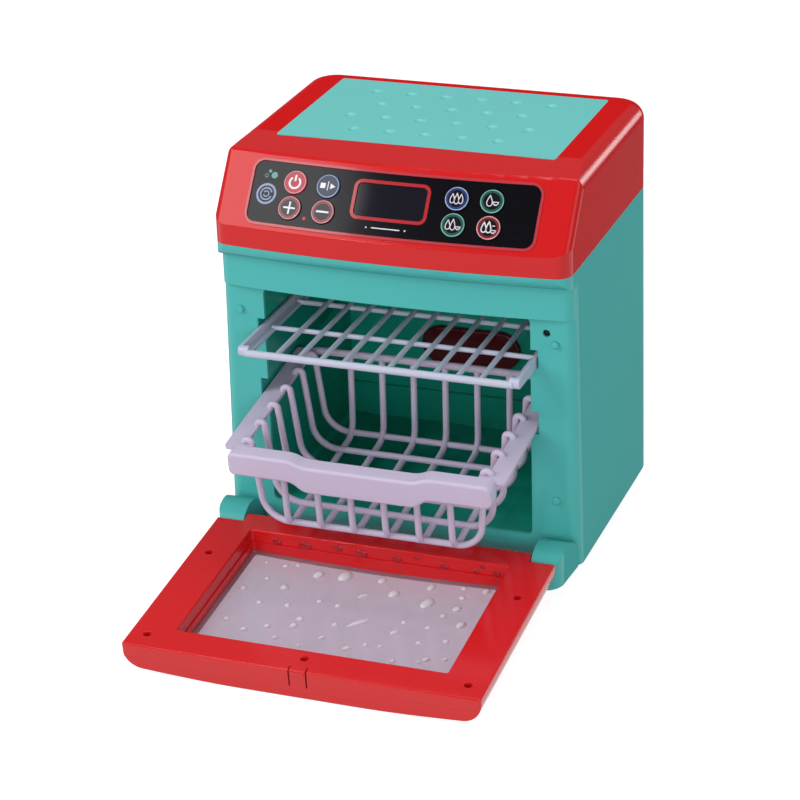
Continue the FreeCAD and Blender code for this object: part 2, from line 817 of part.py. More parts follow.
def button_hole(x, u):
    hole = cyl(CAP_R + CAP_GAP, 12.0, V(0, 0, -8))
    return slope_frame(hole, x, u)


def control_panel():
    low = FASCIA_TOP - FASCIA_T
    panel = fascia_patch(0.0, low, FASCIA_TOP)
    posts = []
    for x, u in BOARD_POSTS:
        post = cyl(POST_R, BOARD_DEPTH + POST_TOP, V(x, u, -BOARD_DEPTH))
        posts.append(slope_frame(post.cut(cyl(SCREW_R - 0.2, 6.0, V(x, u, -BOARD_DEPTH))), 0.0, 0.0))
    panel = panel.multiFuse(posts)
    tools = [button_hole(x, u) for name, x, u in BUTTONS]
    tools.append(slope_frame(cyl(LED_R, 12.0, V(0, 0, -8)), LED_X, LED_U))
    tools.append(display_patch(-DISPLAY_RING, -8, 8))
    return cut(panel, tools)


def panel_rim():
    rim = fascia_patch(RIM_W, FASCIA_TOP - FASCIA_T, RIM_TOP).cut(fascia_patch(0.0, -6, 4))
    return rim


def display_patch(grow, w0, w1):
    return slope_patch(DISPLAY_X + grow, DISPLAY_U[0] - grow, DISPLAY_U[1] + grow, DISPLAY_R + grow, w0, w1)


def display_frame():
    top = FASCIA_TOP + DISPLAY_RISE
    return display_patch(0.0, FASCIA_TOP, top).cut(display_patch(-DISPLAY_RING, -6, 4))


def display_window():
    return display_patch(-DISPLAY_RING, FASCIA_TOP - FASCIA_T, FASCIA_TOP - DISPLAY_SINK)


def display_module():
    z0 = -BOARD_DEPTH
    body = slab(-MODULE_X, MODULE_X, MODULE_U[0], MODULE_U[1], z0, z0 + MODULE_T, 1.0)
    return slope_frame(body, 0.0, 0.0)


def button(x, u):
    # Domed cap with a skirt, a centre stem and two side lugs that catch behind the panel.
    cap = cyl(CAP_R, CAP_TOP - CAP_SKIRT, V(0, 0, CAP_SKIRT))
    cap = cap.makeFillet(CAP_EDGE_R, [e for e in cap.Edges if abs(midpoint(e).z - CAP_TOP) < 0.01])
    cap = cap.cut(cyl(CAP_R - CAP_WALL, CAP_TOP - CAP_SKIRT - CAP_WALL, V(0, 0, CAP_SKIRT)))
    stem = cyl(CAP_STEM_R, CAP_TOP - CAP_WALL + 0.3 - CAP_STEM_W, V(0, 0, CAP_STEM_W))
    lug_z = FASCIA_TOP - FASCIA_T - CAP_LUG_DROP
    lugs = cyl(CAP_LUG_R, CAP_LUG_T, V(0, 0, lug_z - CAP_LUG_T))
    lugs = lugs.cut(cyl(CAP_R - 0.4, 8, V(0, 0, lug_z - 4)))
    lugs = lugs.common(box(-20, 20, -CAP_LUG_U, CAP_LUG_U, -20, 20))
    return slope_frame(fuse([cap, stem, lugs]), x, u)


def circuit_board():
    z1 = -BOARD_DEPTH
    board = slab(-BOARD_X, BOARD_X, BOARD_U[0], BOARD_U[1], z1 - BOARD_T, z1, 1.5)
    holes = [cyl(SCREW_R - 0.2, 8, V(x, u, z1 - 4)) for x, u in BOARD_POSTS]
    chip = box(-30, -18, 15, 27, z1 - BOARD_T - 2.0, z1 - BOARD_T)
    return slope_frame(fuse([board.cut(Part.makeCompound(holes)), chip]), 0.0, 0.0)


def board_screws():
    heads = []
    z = -BOARD_DEPTH - BOARD_T
    for x, u in BOARD_POSTS:
        head = cyl(SCREW_HEAD_R - 0.4, SCREW_HEAD_T, V(x, u, z - SCREW_HEAD_T))
        shank = cyl(SCREW_R - 0.2, BOARD_T + 5.0, V(x, u, z))
        heads.append(slope_frame(head.fuse(shank), 0.0, 0.0))
    return Part.makeCompound(heads)


def button_pad():
    # Two rubber sheets with a dome under each stem.
    z = -BOARD_DEPTH
    pads = []
    for s in SIDES:
        own = [(x, u) for name, x, u in BUTTONS if x * s > 0]
        xs = [x for x, u in own]
        us = [u for x, u in own]
        sheet = slab(min(xs) - 7, max(xs) + 7, min(us) - 7, max(us) + 5, z, z + PAD_T, 3.0)
        domes = []
        for x, u in own:
            domes.append(Part.makeCone(PAD_DOME_R, PAD_DOME_R - 1.4, PAD_DOME_H, V(x, u, z + PAD_T - 0.1)))
        pads.append(fuse([sheet] + domes))
    return slope_frame(Part.makeCompound(pads), 0.0, 0.0)


def power_led():
    lens = cyl(LED_R, LED_TOP + 8.0, V(0, 0, -8.0))
    lens = lens.makeFillet(0.7, [e for e in lens.Edges if abs(midpoint(e).z - LED_TOP) < 0.01])
    return slope_frame(lens, LED_X, LED_U)


def top_panel():
    panel = slab(-PANEL_X, PANEL_X, PANEL_Y0, PANEL_Y1, ROOF_Z - PANEL_T, ROOF_Z, 2.0)
    tools = []
    ball_r = (DIMPLE_R * DIMPLE_R + DIMPLE_DEPTH * DIMPLE_DEPTH) / (2 * DIMPLE_DEPTH)
    for y, count in DIMPLE_ROWS:
        for i in range(count):
            x = (i - (count - 1) / 2.0) * DIMPLE_PITCH
            tools.append(Part.makeSphere(ball_r, V(x, y, ROOF_Z + ball_r - DIMPLE_DEPTH)))
    return cut(panel, tools)


# Door

def door_place(shape):
    return placed(shape, V(0, HINGE_Y, HINGE_Z), X_AXIS, DOOR_TILT)


def door_box(x0, x1, t0, t1, d0, d1):
    return box(x0, x1, -t1, -t0, d0, d1)


def door_slab(x0, x1, t0, t1, d0, d1, r):
    return slab(x0, x1, -t1, -t0, d0, d1, r)


def door_sag(x):
    return DOOR_BOW_R - math.sqrt(DOOR_BOW_R * DOOR_BOW_R - x * x)


def door_block(inset, t0):
    # Bowed outer face, rounded sides and free edge, flat inner face.
    x = DOOR_X - inset
    r = DOOR_SIDE_R - inset
    out = DOOR_OUT + inset
    low = out + door_sag(x - r)
    top = DOOR_D - inset
    k = math.sqrt(0.5) * r
    edges = [
        Part.makeLine(V(-x, 0, top), V(x, 0, top)),
        Part.makeLine(V(x, 0, top), V(x, 0, low + r)),
        Part.Arc(V(x, 0, low + r), V(x - r + k, 0, low + r - k), V(x - r, 0, low)).toShape(),
        Part.Arc(V(x - r, 0, low), V(0, 0, out), V(-x + r, 0, low)).toShape(),
        Part.Arc(V(-x + r, 0, low), V(-x + r - k, 0, low + r - k), V(-x, 0, low + r)).toShape(),
        Part.makeLine(V(-x, 0, low + r), V(-x, 0, top)),
    ]
    t1 = DOOR_T - inset
    block = Part.Face(Part.Wire(edges)).extrude(V(0, -(t1 - t0), 0))
    block.translate(V(0, -t0, 0))
    side = rounded_wire([
        V(-x, -t0, top + 1), V(-x, -t1, top + 1), V(-x, -t1, out), V(-x, -t0, out),
    ], [0, 0, max(DOOR_TOE_R - inset, 0), 0])
    block = block.common(Part.Face(side).extrude(V(2 * x, 0, 0)))
    plan = rounded_wire([
        V(-x, -t1, out - 1), V(x, -t1, out - 1), V(x, -t0, out - 1), V(-x, -t0, out - 1),
    ], [DOOR_PLAN_R, DOOR_PLAN_R, 0, 0])
    return block.common(Part.Face(plan).extrude(V(0, 0, top - out + 4)))


def door_hinge_strip():
    # Barrel round the axis and the web that joins it to the door, between the knuckles.
    section = face_of([
        V(0, 0, -BARREL_R),
        V(0, -30, DOOR_OUT + 0.0),
        V(0, -30, DOOR_D),
        V(0, -DOOR_MID_T, DOOR_D),
        V(0, -DOOR_MID_T, BARREL_R),
        V(0, 0, BARREL_R),
    ])
    web = section.extrude(V(2 * DOOR_MID_X, 0, 0))
    web.translate(V(-DOOR_MID_X, 0, 0))
    keep = door_block(0.0, -8.0)
    barrel = cyl(BARREL_R, 2 * DOOR_MID_X, V(-DOOR_MID_X, 0, 0), X_AXIS)
    return web.common(keep).fuse(barrel)


def door_recess(half_x, margin, d0, d1):
    return door_slab(-half_x, half_x, WIN_T0 + margin, WIN_T1 - margin, d0, d1, WIN_R)


def door_sheet(half_x, margin, off0, off1):
    # Bowed sheet between two distances from the outer face, for the lip and the pane.
    x = half_x
    z0 = DOOR_OUT + off0
    z1 = DOOR_OUT + off1
    edges = [
        Part.Arc(V(-x, 0, z0 + door_sag(x)), V(0, 0, z0), V(x, 0, z0 + door_sag(x))).toShape(),
        Part.makeLine(V(x, 0, z0 + door_sag(x)), V(x, 0, z1 + door_sag(x))),
        Part.Arc(V(x, 0, z1 + door_sag(x)), V(0, 0, z1), V(-x, 0, z1 + door_sag(x))).toShape(),
        Part.makeLine(V(-x, 0, z1 + door_sag(x)), V(-x, 0, z0 + door_sag(x))),
    ]
    sheet = Part.Face(Part.Wire(edges)).extrude(V(0, -(WIN_T1 - WIN_T0), 0))
    sheet.translate(V(0, -WIN_T0, 0))
    return sheet.common(door_recess(half_x, margin, DOOR_OUT - 1, DOOR_D))


def door_shell():
    solid = door_block(0.0, 2.0)
    side_cut = []
    for s in SIDES:
        x0 = min(s * DOOR_MID_X, s * (DOOR_X + 2))
        side_cut.append(cyl(DOOR_CUT_R, DOOR_X + 2 - DOOR_MID_X, V(x0, 0, 0), X_AXIS))
    start = door_box(-DOOR_X, DOOR_X, -10, DOOR_CUT_R * 0.6, -30, 30)
    solid = solid.cut(start).cut(Part.makeCompound(side_cut))
    solid = solid.fuse(door_hinge_strip()).removeSplitter()
    solid = solid.cut(door_recess(WIN_X, 0.0, DOOR_SPLIT, DOOR_D + 1))

    def rim(e):
        flat = all(abs(v.Z - DOOR_D) < 0.01 for v in e.Vertexes)
        return flat and abs(midpoint(e).z - DOOR_D) < 0.01

    solid = fillet_where(solid, DOOR_EDGE_R, rim)
    w = DOOR_WALL
    hollow = door_block(w, DOOR_CUT_R + 1.0)
    hollow = hollow.cut(door_recess(WIN_X + w, -w, -20, 20))
    bosses = []
    for x, t in DOOR_SCREWS:
        bosses.append(cyl(DOOR_BOSS_R, 40, V(x, -t, -20)))
    hollow = hollow.cut(Part.makeCompound(bosses))
    solid = solid.cut(hollow)
    tools = [
        door_recess(WIN_X - WIN_STEP, WIN_STEP, -20, DOOR_SPLIT).cut(door_sheet(WIN_X, 0.0, -6.0, WIN_LIP_T)),
        door_recess(WIN_X - WIN_STEP - WIN_LIP, WIN_STEP + WIN_LIP, -20, 20),
    ]
    for x, t in DOOR_SCREWS:
        tools.append(cyl(WELL_R, WELL_DEPTH + 1, V(x, -t, DOOR_D - WELL_DEPTH)))
        floor = DOOR_D - WELL_DEPTH
        tools.append(cyl(DOOR_SCREW_R, DOOR_SCREW_L, V(x, -t, floor - DOOR_SCREW_L)))
    for s in SIDES:
        x0 = min(s * LATCH_X, s * (LATCH_X + SLIT))
        tools.append(door_box(x0, x0 + SLIT, DOOR_T - 4.5, DOOR_T + 1, DOOR_D - SLIT_DEPTH, DOOR_D + 1))
        tools.append(cyl(PIN_R + PIN_RUN, DOOR_MID_X - PIN_IN + 1.0, V(s * (DOOR_MID_X + 0.5), 0, 0), V(-s, 0, 0)))
    solid = cut(solid, tools)
    hook = door_box(-LATCH_X + 1, LATCH_X - 1, DOOR_T - 0.5, DOOR_T + HOOK_H, DOOR_D - DOOR_EDGE_R - HOOK_W, DOOR_D - DOOR_EDGE_R)
    return solid.fuse(hook)


def door_inner_frame():
    keep = door_box(-DOOR_X - 2, DOOR_X + 2, -10, DOOR_T + 5, DOOR_SPLIT, 40)
    return door_place(door_shell().common(keep).removeSplitter())


def door_outer_shell():
    keep = door_box(-DOOR_X - 2, DOOR_X + 2, -10, DOOR_T + 5, -40, DOOR_SPLIT)
    return door_place(door_shell().common(keep).removeSplitter())


def door_window():
    pane = door_sheet(WIN_X - WIN_STEP, WIN_STEP, WIN_LIP_T, WIN_LIP_T + PANE_T)
    return door_place(pane)


def door_screws():
    screws = []
    floor = DOOR_D - WELL_DEPTH
    for x, t in DOOR_SCREWS:
        head = cyl(DOOR_SCREW_HEAD_R, DOOR_SCREW_HEAD_T, V(x, -t, floor))
        screws.append(head.fuse(cyl(DOOR_SCREW_R, DOOR_SCREW_L, V(x, -t, floor - DOOR_SCREW_L))))
    return door_place(Part.makeCompound(screws))


def hinge_pin(side):
    return cyl(PIN_R, PIN_OUT - PIN_IN, V(side * PIN_IN, HINGE_Y, HINGE_Z), V(side, 0, 0))


# Upper shelf

def shelf_rail(side):
    # Channel rail: floor, outer wall and a rounded nose.
    x0 = SHELF_EDGE_X
    x1 = RAIL_OUT_X
    nose = (RAIL_Z1 - RAIL_Z0) / 2.0
    body = Part.Face(rounded_wire([
        V(x0, RAIL_Y0, RAIL_Z0), V(x0, RAIL_Y1, RAIL_Z0), V(x0, RAIL_Y1, RAIL_Z1), V(x0, RAIL_Y0, RAIL_Z1),
    ], [nose - 0.6, 1.0, 2.0, nose - 0.6])).extrude(V(x1 - x0, 0, 0))
    channel = box(x0 - 1, x1 - RAIL_WALL, RAIL_Y0 + 4.0, RAIL_Y1 + 1, RAIL_Z0 + RAIL_T, RAIL_Z1 + 1)
    rail = body.cut(channel)
    if side < 0:
        rail = rail.mirror(V(0, 0, 0), X_AXIS)
    return rail


def upper_shelf():
    pieces = [shelf_rail(s) for s in SIDES]
    z = SHELF_Z
    for k in range(SHELF_BARS):
        y = SHELF_Y + k * SHELF_PITCH
        r = SHELF_BAR_R if k == 0 else SHELF_ROD_R
        drop = 0.0 if k == 0 else SHELF_CROSS_DROP
        pieces.append(bar(V(-SHELF_BAR_X, y, z - drop), V(SHELF_BAR_X, y, z - drop), r))
    y1 = SHELF_Y + (SHELF_BARS - 1) * SHELF_PITCH
    for x in SHELF_ROD_X:
        for s in SIDES:
            pieces.append(bar(V(s * x, SHELF_Y, z + SHELF_ROD_UP), V(s * x, y1, z + SHELF_ROD_UP), SHELF_ROD_R))
    return fuse(pieces)


# Lower basket

def rim_plate(side):
    plate = slab(RIM_X0, RIM_X1, RIM_V0, RIM_V1 + TAIL_CORNER - 2, -RIM_T, 0, 2.5)
    plate = plate.fuse(box(HOOP_TOP_X - WIRE_R, RIM_X0 + 1, RIM_V0, HOOP_V[0] + WIRE_R, -RIM_T, 0))
    bracket = box(BRACKET_X[0], BRACKET_X[1], RIM_V0, ROD_V0 + WIRE_R, FRONT_RAIL_W - WIRE_R, -RIM_T)
    out = fuse([plate, bracket])
    if side < 0:
        out = out.mirror(V(0, 0, 0), X_AXIS)
    return out


def hoop(v):
    x = HOOP_TOP_X
    crown = HOOP_CROWN_W
    points = [
        V(-HOOP_LAND_X, v, -1.4), V(-HOOP_LAND_X, v, crown), V(-x, v, crown), V(-HOOP_LOW_X, v, HOOP_W),
        V(HOOP_LOW_X, v, HOOP_W), V(x, v, crown), V(HOOP_LAND_X, v, crown), V(HOOP_LAND_X, v, -1.4),
    ]
    bends = [HOOP_CROWN_R - 0.1, HOOP_CROWN_R - 0.2, HOOP_R, HOOP_R, HOOP_CROWN_R - 0.2, HOOP_CROWN_R - 0.1]
    return wire_rod(points, bends, WIRE_R)


def long_rod(x):
    points = [V(x, ROD_V0, FRONT_RAIL_W), V(x, ROD_V0, ROD_W), V(x, ROD_V1, ROD_W), V(x, TAIL_V, TAIL_W)]
    return wire_rod(points, [ROD_R, ROD_R], WIRE_R)


def tail_rail():
    x = (RIM_X0 + RIM_X1) / 2.0
    points = [
        V(-x, RIM_V1 - 8, TAIL_W), V(-x, TAIL_V, TAIL_W), V(x, TAIL_V, TAIL_W), V(x, RIM_V1 - 8, TAIL_W),
    ]
    return wire_rod(points, [TAIL_CORNER, TAIL_CORNER], TAIL_R)


def lower_basket():
    pieces = [rim_plate(s) for s in SIDES]
    pieces += [hoop(v) for v in HOOP_V]
    for x in ROD_X:
        for s in SIDES:
            pieces.append(long_rod(s * x))
    pieces.append(tail_rail())
    pieces.append(bar(
        V(-BRACKET_X[0] - 1, ROD_V0, FRONT_RAIL_W), V(BRACKET_X[0] + 1, ROD_V0, FRONT_RAIL_W), WIRE_R,
    ))
    return basket_frame(fuse(pieces))


def s_bend(x0, z0, x1, z1):
    # Two arcs, level at both ends.
    mx = (x0 + x1) / 2.0
    mz = (z0 + z1) / 2.0
    dx = x1 - x0
    dz = z1 - z0
    q = 0.125 * dz
    first = Part.Arc(V(x0, 0, z0), V(x0 + dx / 4, 0, z0 + q), V(mx, 0, mz)).toShape()
    second = Part.Arc(V(mx, 0, mz), V(x1 - dx / 4, 0, z1 - q), V(x1, 0, z1)).toShape()
    return [first, second]


def handle_block(inset, open_low):
    x = HANDLE_X - inset
    top = HANDLE_TOP - inset
    mid_top = HANDLE_MID_TOP - inset
    low = HANDLE_BOT + (-1.0 if open_low else 0.0)
    mid_low = HANDLE_MID_BOT + (-1.0 if open_low else 0.0)
    r = HANDLE_END_R - inset * 0.8
    edges = []
    edges += s_bend(-HANDLE_S_X, top, -HANDLE_MID_X, mid_top)
    edges.append(Part.makeLine(V(-HANDLE_MID_X, 0, mid_top), V(HANDLE_MID_X, 0, mid_top)))
    edges += s_bend(HANDLE_MID_X, mid_top, HANDLE_S_X, top)
    edges.append(Part.makeLine(V(HANDLE_S_X, 0, top), V(x, 0, top)))
    edges.append(Part.makeLine(V(x, 0, top), V(x, 0, low)))
    edges.append(Part.makeLine(V(x, 0, low), V(HANDLE_S_X, 0, low)))
    edges += s_bend(HANDLE_S_X, low, HANDLE_MID_X, mid_low)
    edges.append(Part.makeLine(V(HANDLE_MID_X, 0, mid_low), V(-HANDLE_MID_X, 0, mid_low)))
    edges += s_bend(-HANDLE_MID_X, mid_low, -HANDLE_S_X, low)
    edges.append(Part.makeLine(V(-HANDLE_S_X, 0, low), V(-x, 0, low)))
    edges.append(Part.makeLine(V(-x, 0, low), V(-x, 0, top)))
    edges.append(Part.makeLine(V(-x, 0, top), V(-HANDLE_S_X, 0, top)))
    face = Part.Face(Part.Wire(edges))
    depth = HANDLE_V1 - HANDLE_V0 - 2 * inset
    face.translate(V(0, HANDLE_V0 + inset, 0))
    block = face.extrude(V(0, depth, 0))
    side_x = x

    def end_edge(e):
        m = midpoint(e)
        across = abs(e.tangentAt(e.FirstParameter).y) > 0.99
        return across and abs(abs(m.x) - side_x) < 0.1

    return fillet_where(block, max(r, 1.0), end_edge)


def basket_handle():
    outer = handle_block(0.0, False)
    front = HANDLE_V0

    def front_edge(e):
        return abs(midpoint(e).y - front) < 0.01

    outer = fillet_where(outer, HANDLE_EDGE_R, front_edge)
    return basket_frame(outer.cut(handle_block(HANDLE_WALL, True)))


# Base, rear cover, battery box and fittings

def base_plate():
    wire = body_outline(FRAME_Y + APRON_SET + APRON_BACK, WALL + BASE_GAP, BODY_Z)
    plate = Part.Face(wire).extrude(V(0, 0, PLATE_T))
    tray = slab(-PLINTH_X, PLINTH_X, PLINTH_Y0, PLINTH_Y1, 0, BODY_Z + 0.1, PLINTH_R)
    well = slab(
        -PLINTH_X + PLATE_T, PLINTH_X - PLATE_T, PLINTH_Y0 + PLATE_T, PLINTH_Y1 - PLATE_T,
        PLATE_T, BODY_Z + PLATE_T + 1, PLINTH_R - PLATE_T,
    )
    tools = [well]
    tools += [cyl(FOOT_R, FOOT_T, V(x, y, 0)) for x, y in FOOT_XY]
    for x, y in BASE_SCREW_XY:
        tools.append(cyl(SCREW_R, 10, V(x, y, BODY_Z - 2)))
    return cut(plate.fuse(tray), tools)


def feet():
    return Part.makeCompound([cyl(FOOT_R, FOOT_T, V(x, y, 0)) for x, y in FOOT_XY])


def base_screws():
    screws = []
    for x, y in BASE_SCREW_XY:
        head = cyl(SCREW_HEAD_R, SCREW_HEAD_T, V(x, y, BODY_Z - SCREW_HEAD_T))
        screws.append(head.fuse(cyl(SCREW_R, SCREW_L, V(x, y, BODY_Z))))
    return Part.makeCompound(screws)


def cover_holes():
    x = COVER_X - 3.0
    return [(sx * x, z) for sx in SIDES for z in (COVER_Z[0] + 8.0, COVER_Z[1] - 8.0)]


def rear_cover():
    g = COVER_GAP
    y0 = BACK_Y - COVER_T
    cover = wall_slab(-COVER_X + g, COVER_X - g, COVER_Z[0] + g, COVER_Z[1] - g, y0, BACK_Y, COVER_R - g)
    tools = []
    for x, z in cover_holes():
        tools.append(cyl(SCREW_R, 8, V(x, BACK_Y - 6, z), Y_AXIS))
        tools.append(cyl(SCREW_HEAD_R, 8, V(x, BACK_Y - SCREW_HEAD_T + 0.4, z), Y_AXIS))
    tools.append(wall_slab(-HATCH_X, HATCH_X, HATCH_Z[0], HATCH_Z[1], BACK_Y - HATCH_T, BACK_Y + 1, 3.0))
    slot_z = SPEAKER_Z
    for k in range(-3, 4):
        half = math.sqrt(max(1.0, SPEAKER_R * SPEAKER_R * 0.8 - (k * 4.6) ** 2))
        tools.append(wall_slab(-half, half, slot_z + k * 4.6 - 0.9, slot_z + k * 4.6 + 0.9, y0 - 1, BACK_Y + 1, 0.85))
    h = HATCH_LEDGE
    x0 = HATCH_X - h
    box_wall = wall_slab(-x0 - 1.8, x0 + 1.8, HATCH_Z[0] + h - 1.8, HATCH_Z[1] - h + 1.8, battery_y0(), y0 + 0.1, 2.0)
    inner = wall_slab(-x0, x0, HATCH_Z[0] + h, HATCH_Z[1] - h, battery_y0() + 1.2, BACK_Y + 1, 1.0)
    return cut(cover.fuse(box_wall), tools + [inner])


def battery_y0():
    return CELL_Y - CELL_R - 1.4


def rear_cover_screws():
    screws = []
    for x, z in cover_holes():
        y = BACK_Y - SCREW_HEAD_T + 0.4
        head = cyl(SCREW_HEAD_R, 1.2, V(x, y, z), Y_AXIS)
        screws.append(head.fuse(cyl(SCREW_R, 6, V(x, y - 4.4, z), Y_AXIS)))
    return Part.makeCompound(screws)


def battery_hatch():
    g = COVER_GAP
    hatch = wall_slab(-HATCH_X + g, HATCH_X - g, HATCH_Z[0] + g, HATCH_Z[1] - g, BACK_Y - HATCH_T, BACK_Y, 2.8)
    z = HATCH_Z[1] - 6.0
    recess = cyl(SCREW_HEAD_R, 1.1, V(0, BACK_Y - 1.1, z), Y_AXIS)
    grips = [
        wall_slab(-9, 9, HATCH_Z[0] + 4 + k * 3, HATCH_Z[0] + 5.2 + k * 3, BACK_Y - 0.6, BACK_Y + 1, 0.5)
        for k in range(4)
    ]
    return cut(hatch, [recess] + grips)


def battery_hatch_screw():
    z = HATCH_Z[1] - 6.0
    head = cyl(SCREW_HEAD_R - 0.1, 0.9, V(0, BACK_Y - 1.1, z), Y_AXIS)
    slot = box(-2.2, 2.2, BACK_Y - 0.7, BACK_Y, z - 0.35, z + 0.35)
    return head.cut(slot)


def cell_end():
    # Inner half width between the two rows of contacts.
    return HATCH_X - HATCH_LEDGE - CONTACT_T


def batteries():
    cells = []
    for i, z in enumerate(CELL_Z):
        s = 1 if i % 2 else -1
        tip = cell_end() - CELL_NUB
        body = cyl(CELL_R, CELL_L, V(s * (tip - CELL_L), CELL_Y, z), V(s, 0, 0))
        nub = cyl(CELL_NUB_R, CELL_NUB, V(s * tip, CELL_Y, z), V(s, 0, 0))
        cells.append(body.fuse(nub))
    return Part.makeCompound(cells)


def battery_contacts():
    # Flat plates at both ends, each with a spring stub against the flat end of its cell.
    plates = []
    gap = 2 * cell_end() - CELL_NUB - CELL_L
    for i, z in enumerate(CELL_Z):
        minus = -1 if i % 2 else 1
        for s in SIDES:
            x0 = min(s * cell_end(), s * (cell_end() + CONTACT_T))
            plate = box(x0, x0 + CONTACT_T, CELL_Y - 5, CELL_Y + 5, z - 5, z + 5)
            if s == minus:
                plate = plate.fuse(cyl(SPRING_R, gap, V(s * cell_end(), CELL_Y, z), V(-s, 0, 0)))
            plates.append(plate)
    return Part.makeCompound(plates)


def speaker():
    y = BACK_Y - COVER_T
    ring = cyl(SPEAKER_R, 2.0, V(0, y - 2.0, SPEAKER_Z), Y_AXIS)
    cone = Part.makeCone(SPEAKER_R * 0.45, SPEAKER_R - 2, SPEAKER_T - 4.0, V(0, y - SPEAKER_T + 2, SPEAKER_Z), Y_AXIS)
    magnet = cyl(SPEAKER_R * 0.5, 3.0, V(0, y - SPEAKER_T - 1, SPEAKER_Z), Y_AXIS)
    bowl = cyl(SPEAKER_R - 3.5, 1.2, V(0, y - 1.2, SPEAKER_Z), Y_AXIS)
    return fuse([ring, cone, magnet]).cut(bowl)


def door_switch():
    y0 = FRAME_Y + WALL
    body = box(SWITCH_X - 3, SWITCH_X + 6, y0, y0 + 12, SWITCH_Z - 6, SWITCH_Z + 6)
    nose = cyl(SWITCH_R - 0.2, 2.4, V(SWITCH_X, y0 - 0.4, SWITCH_Z), Y_AXIS)
    return body.fuse(nose)


# Output

def export(name, shape):
    shape.exportStep("parts/" + name + ".step")
    print(name, len(shape.Solids), shape.isValid(), round(shape.Volume))


PARTS = {
    "cabinet_shell": cabinet_shell,
    "tub_liner": tub_liner,
    "interior_lamp_lens": interior_lamp_lens,
    "interior_lamp_board": interior_lamp_board,
    "top_housing": top_housing,
    "top_panel": top_panel,
    "control_panel": control_panel,
    "panel_rim": panel_rim,
    "display_frame": display_frame,
    "display_window": display_window,
    "display_module": display_module,
    "button_pad": button_pad,
    "circuit_board": circuit_board,
    "board_screws": board_screws,
    "power_led": power_led,
    "speaker": speaker,
    "door_switch": door_switch,
    "door_inner_frame": door_inner_frame,
    "door_outer_shell": door_outer_shell,
    "door_window": door_window,
    "door_screws": door_screws,
    "upper_shelf": upper_shelf,
    "lower_basket": lower_basket,
    "basket_handle": basket_handle,
    "base_plate": base_plate,
    "base_screws": base_screws,
    "feet": feet,
    "rear_cover": rear_cover,
    "rear_cover_screws": rear_cover_screws,
    "battery_hatch": battery_hatch,
    "battery_hatch_screw": battery_hatch_screw,
    "batteries": batteries,
    "battery_contacts": battery_contacts,
}

for name, make in PARTS.items():
    export(name, make())
for name, x, u in BUTTONS:
    export(name, button(x, u))
export("hinge_pin_left", hinge_pin(-1))
export("hinge_pin_right", hinge_pin(1))
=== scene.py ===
# %% [markdown]
# # A toy dishwasher, dressed for the camera
#
# The solid model of this toy comes in as a fixed frame: a mint cabinet, a red top
# with a control panel, a drop-down door, a wire shelf and a wire basket. This
# notebook gives each of those pieces its finish, and adds the small printed and
# moulded details that are too fine for the solid model.

# %% Load the frame
import math
import random
import bpy
import bmesh
from mathutils import Matrix, Vector


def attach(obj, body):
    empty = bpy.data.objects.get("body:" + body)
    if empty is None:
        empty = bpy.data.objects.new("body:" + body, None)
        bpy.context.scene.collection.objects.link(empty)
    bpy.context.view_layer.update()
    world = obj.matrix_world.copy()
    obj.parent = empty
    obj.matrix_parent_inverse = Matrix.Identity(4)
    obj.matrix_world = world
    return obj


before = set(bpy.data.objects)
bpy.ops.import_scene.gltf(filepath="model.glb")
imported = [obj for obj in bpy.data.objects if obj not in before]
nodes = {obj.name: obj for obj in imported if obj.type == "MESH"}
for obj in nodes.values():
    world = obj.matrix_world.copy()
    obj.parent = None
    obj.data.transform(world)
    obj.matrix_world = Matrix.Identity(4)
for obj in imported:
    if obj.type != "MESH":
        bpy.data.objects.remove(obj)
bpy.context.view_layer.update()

scene = bpy.context.scene
MM = 0.001

# %% [markdown]
# ## Camera
#
# The lens and the place of the camera were worked out from the straight edges of
# the toy, so the render can be laid over the photograph. A matrix is used instead
# of angles, because it holds the slight roll of the camera as well.

# %% Camera
camera_right = (0.9390538, 0.3424206, -0.0304317)
camera_up = (-0.1166541, 0.4006757, 0.9087633)
camera_back = (0.3233725, -0.8498277, 0.4162008)
camera_place = (0.563777, -1.556126, 0.84283)

camera_data = bpy.data.cameras.new("studio_camera")
camera_data.lens = 119.687
camera_data.sensor_width = 36.0
camera_data.shift_x = -0.00118
camera_data.shift_y = -0.00072
camera_data.clip_end = 50.0
camera = bpy.data.objects.new("studio_camera", camera_data)
scene.collection.objects.link(camera)
axes = Matrix((camera_right, camera_up, camera_back)).transposed()
camera.matrix_world = Matrix.Translation(camera_place) @ axes.to_4x4()
scene.camera = camera
print("camera", camera_place)

# %% [markdown]
# ## Floor, world and lamps
#
# The toy stands on a pale floor that runs out to white. The floor shows white to
# the camera and to reflections through Light Path, so no lamp has to be strong
# enough to burn it out, and the mint and red stay true. The floor keeps a share
# of its plain diffuse shading, and with it the shadow of the toy.

# %% Light path helper
def seen_directly(tree, rays):
    path = tree.nodes.new("ShaderNodeLightPath")
    socket = path.outputs[rays[0]]
    for ray in rays[1:]:
        either = tree.nodes.new("ShaderNodeMath")
        either.operation = "MAXIMUM"
        tree.links.new(socket, either.inputs[0])
        tree.links.new(path.outputs[ray], either.inputs[1])
        socket = either.outputs[0]
    return socket


SEEN = ("Is Camera Ray", "Is Glossy Ray", "Is Transmission Ray")
print("rays that see the backdrop:", SEEN)

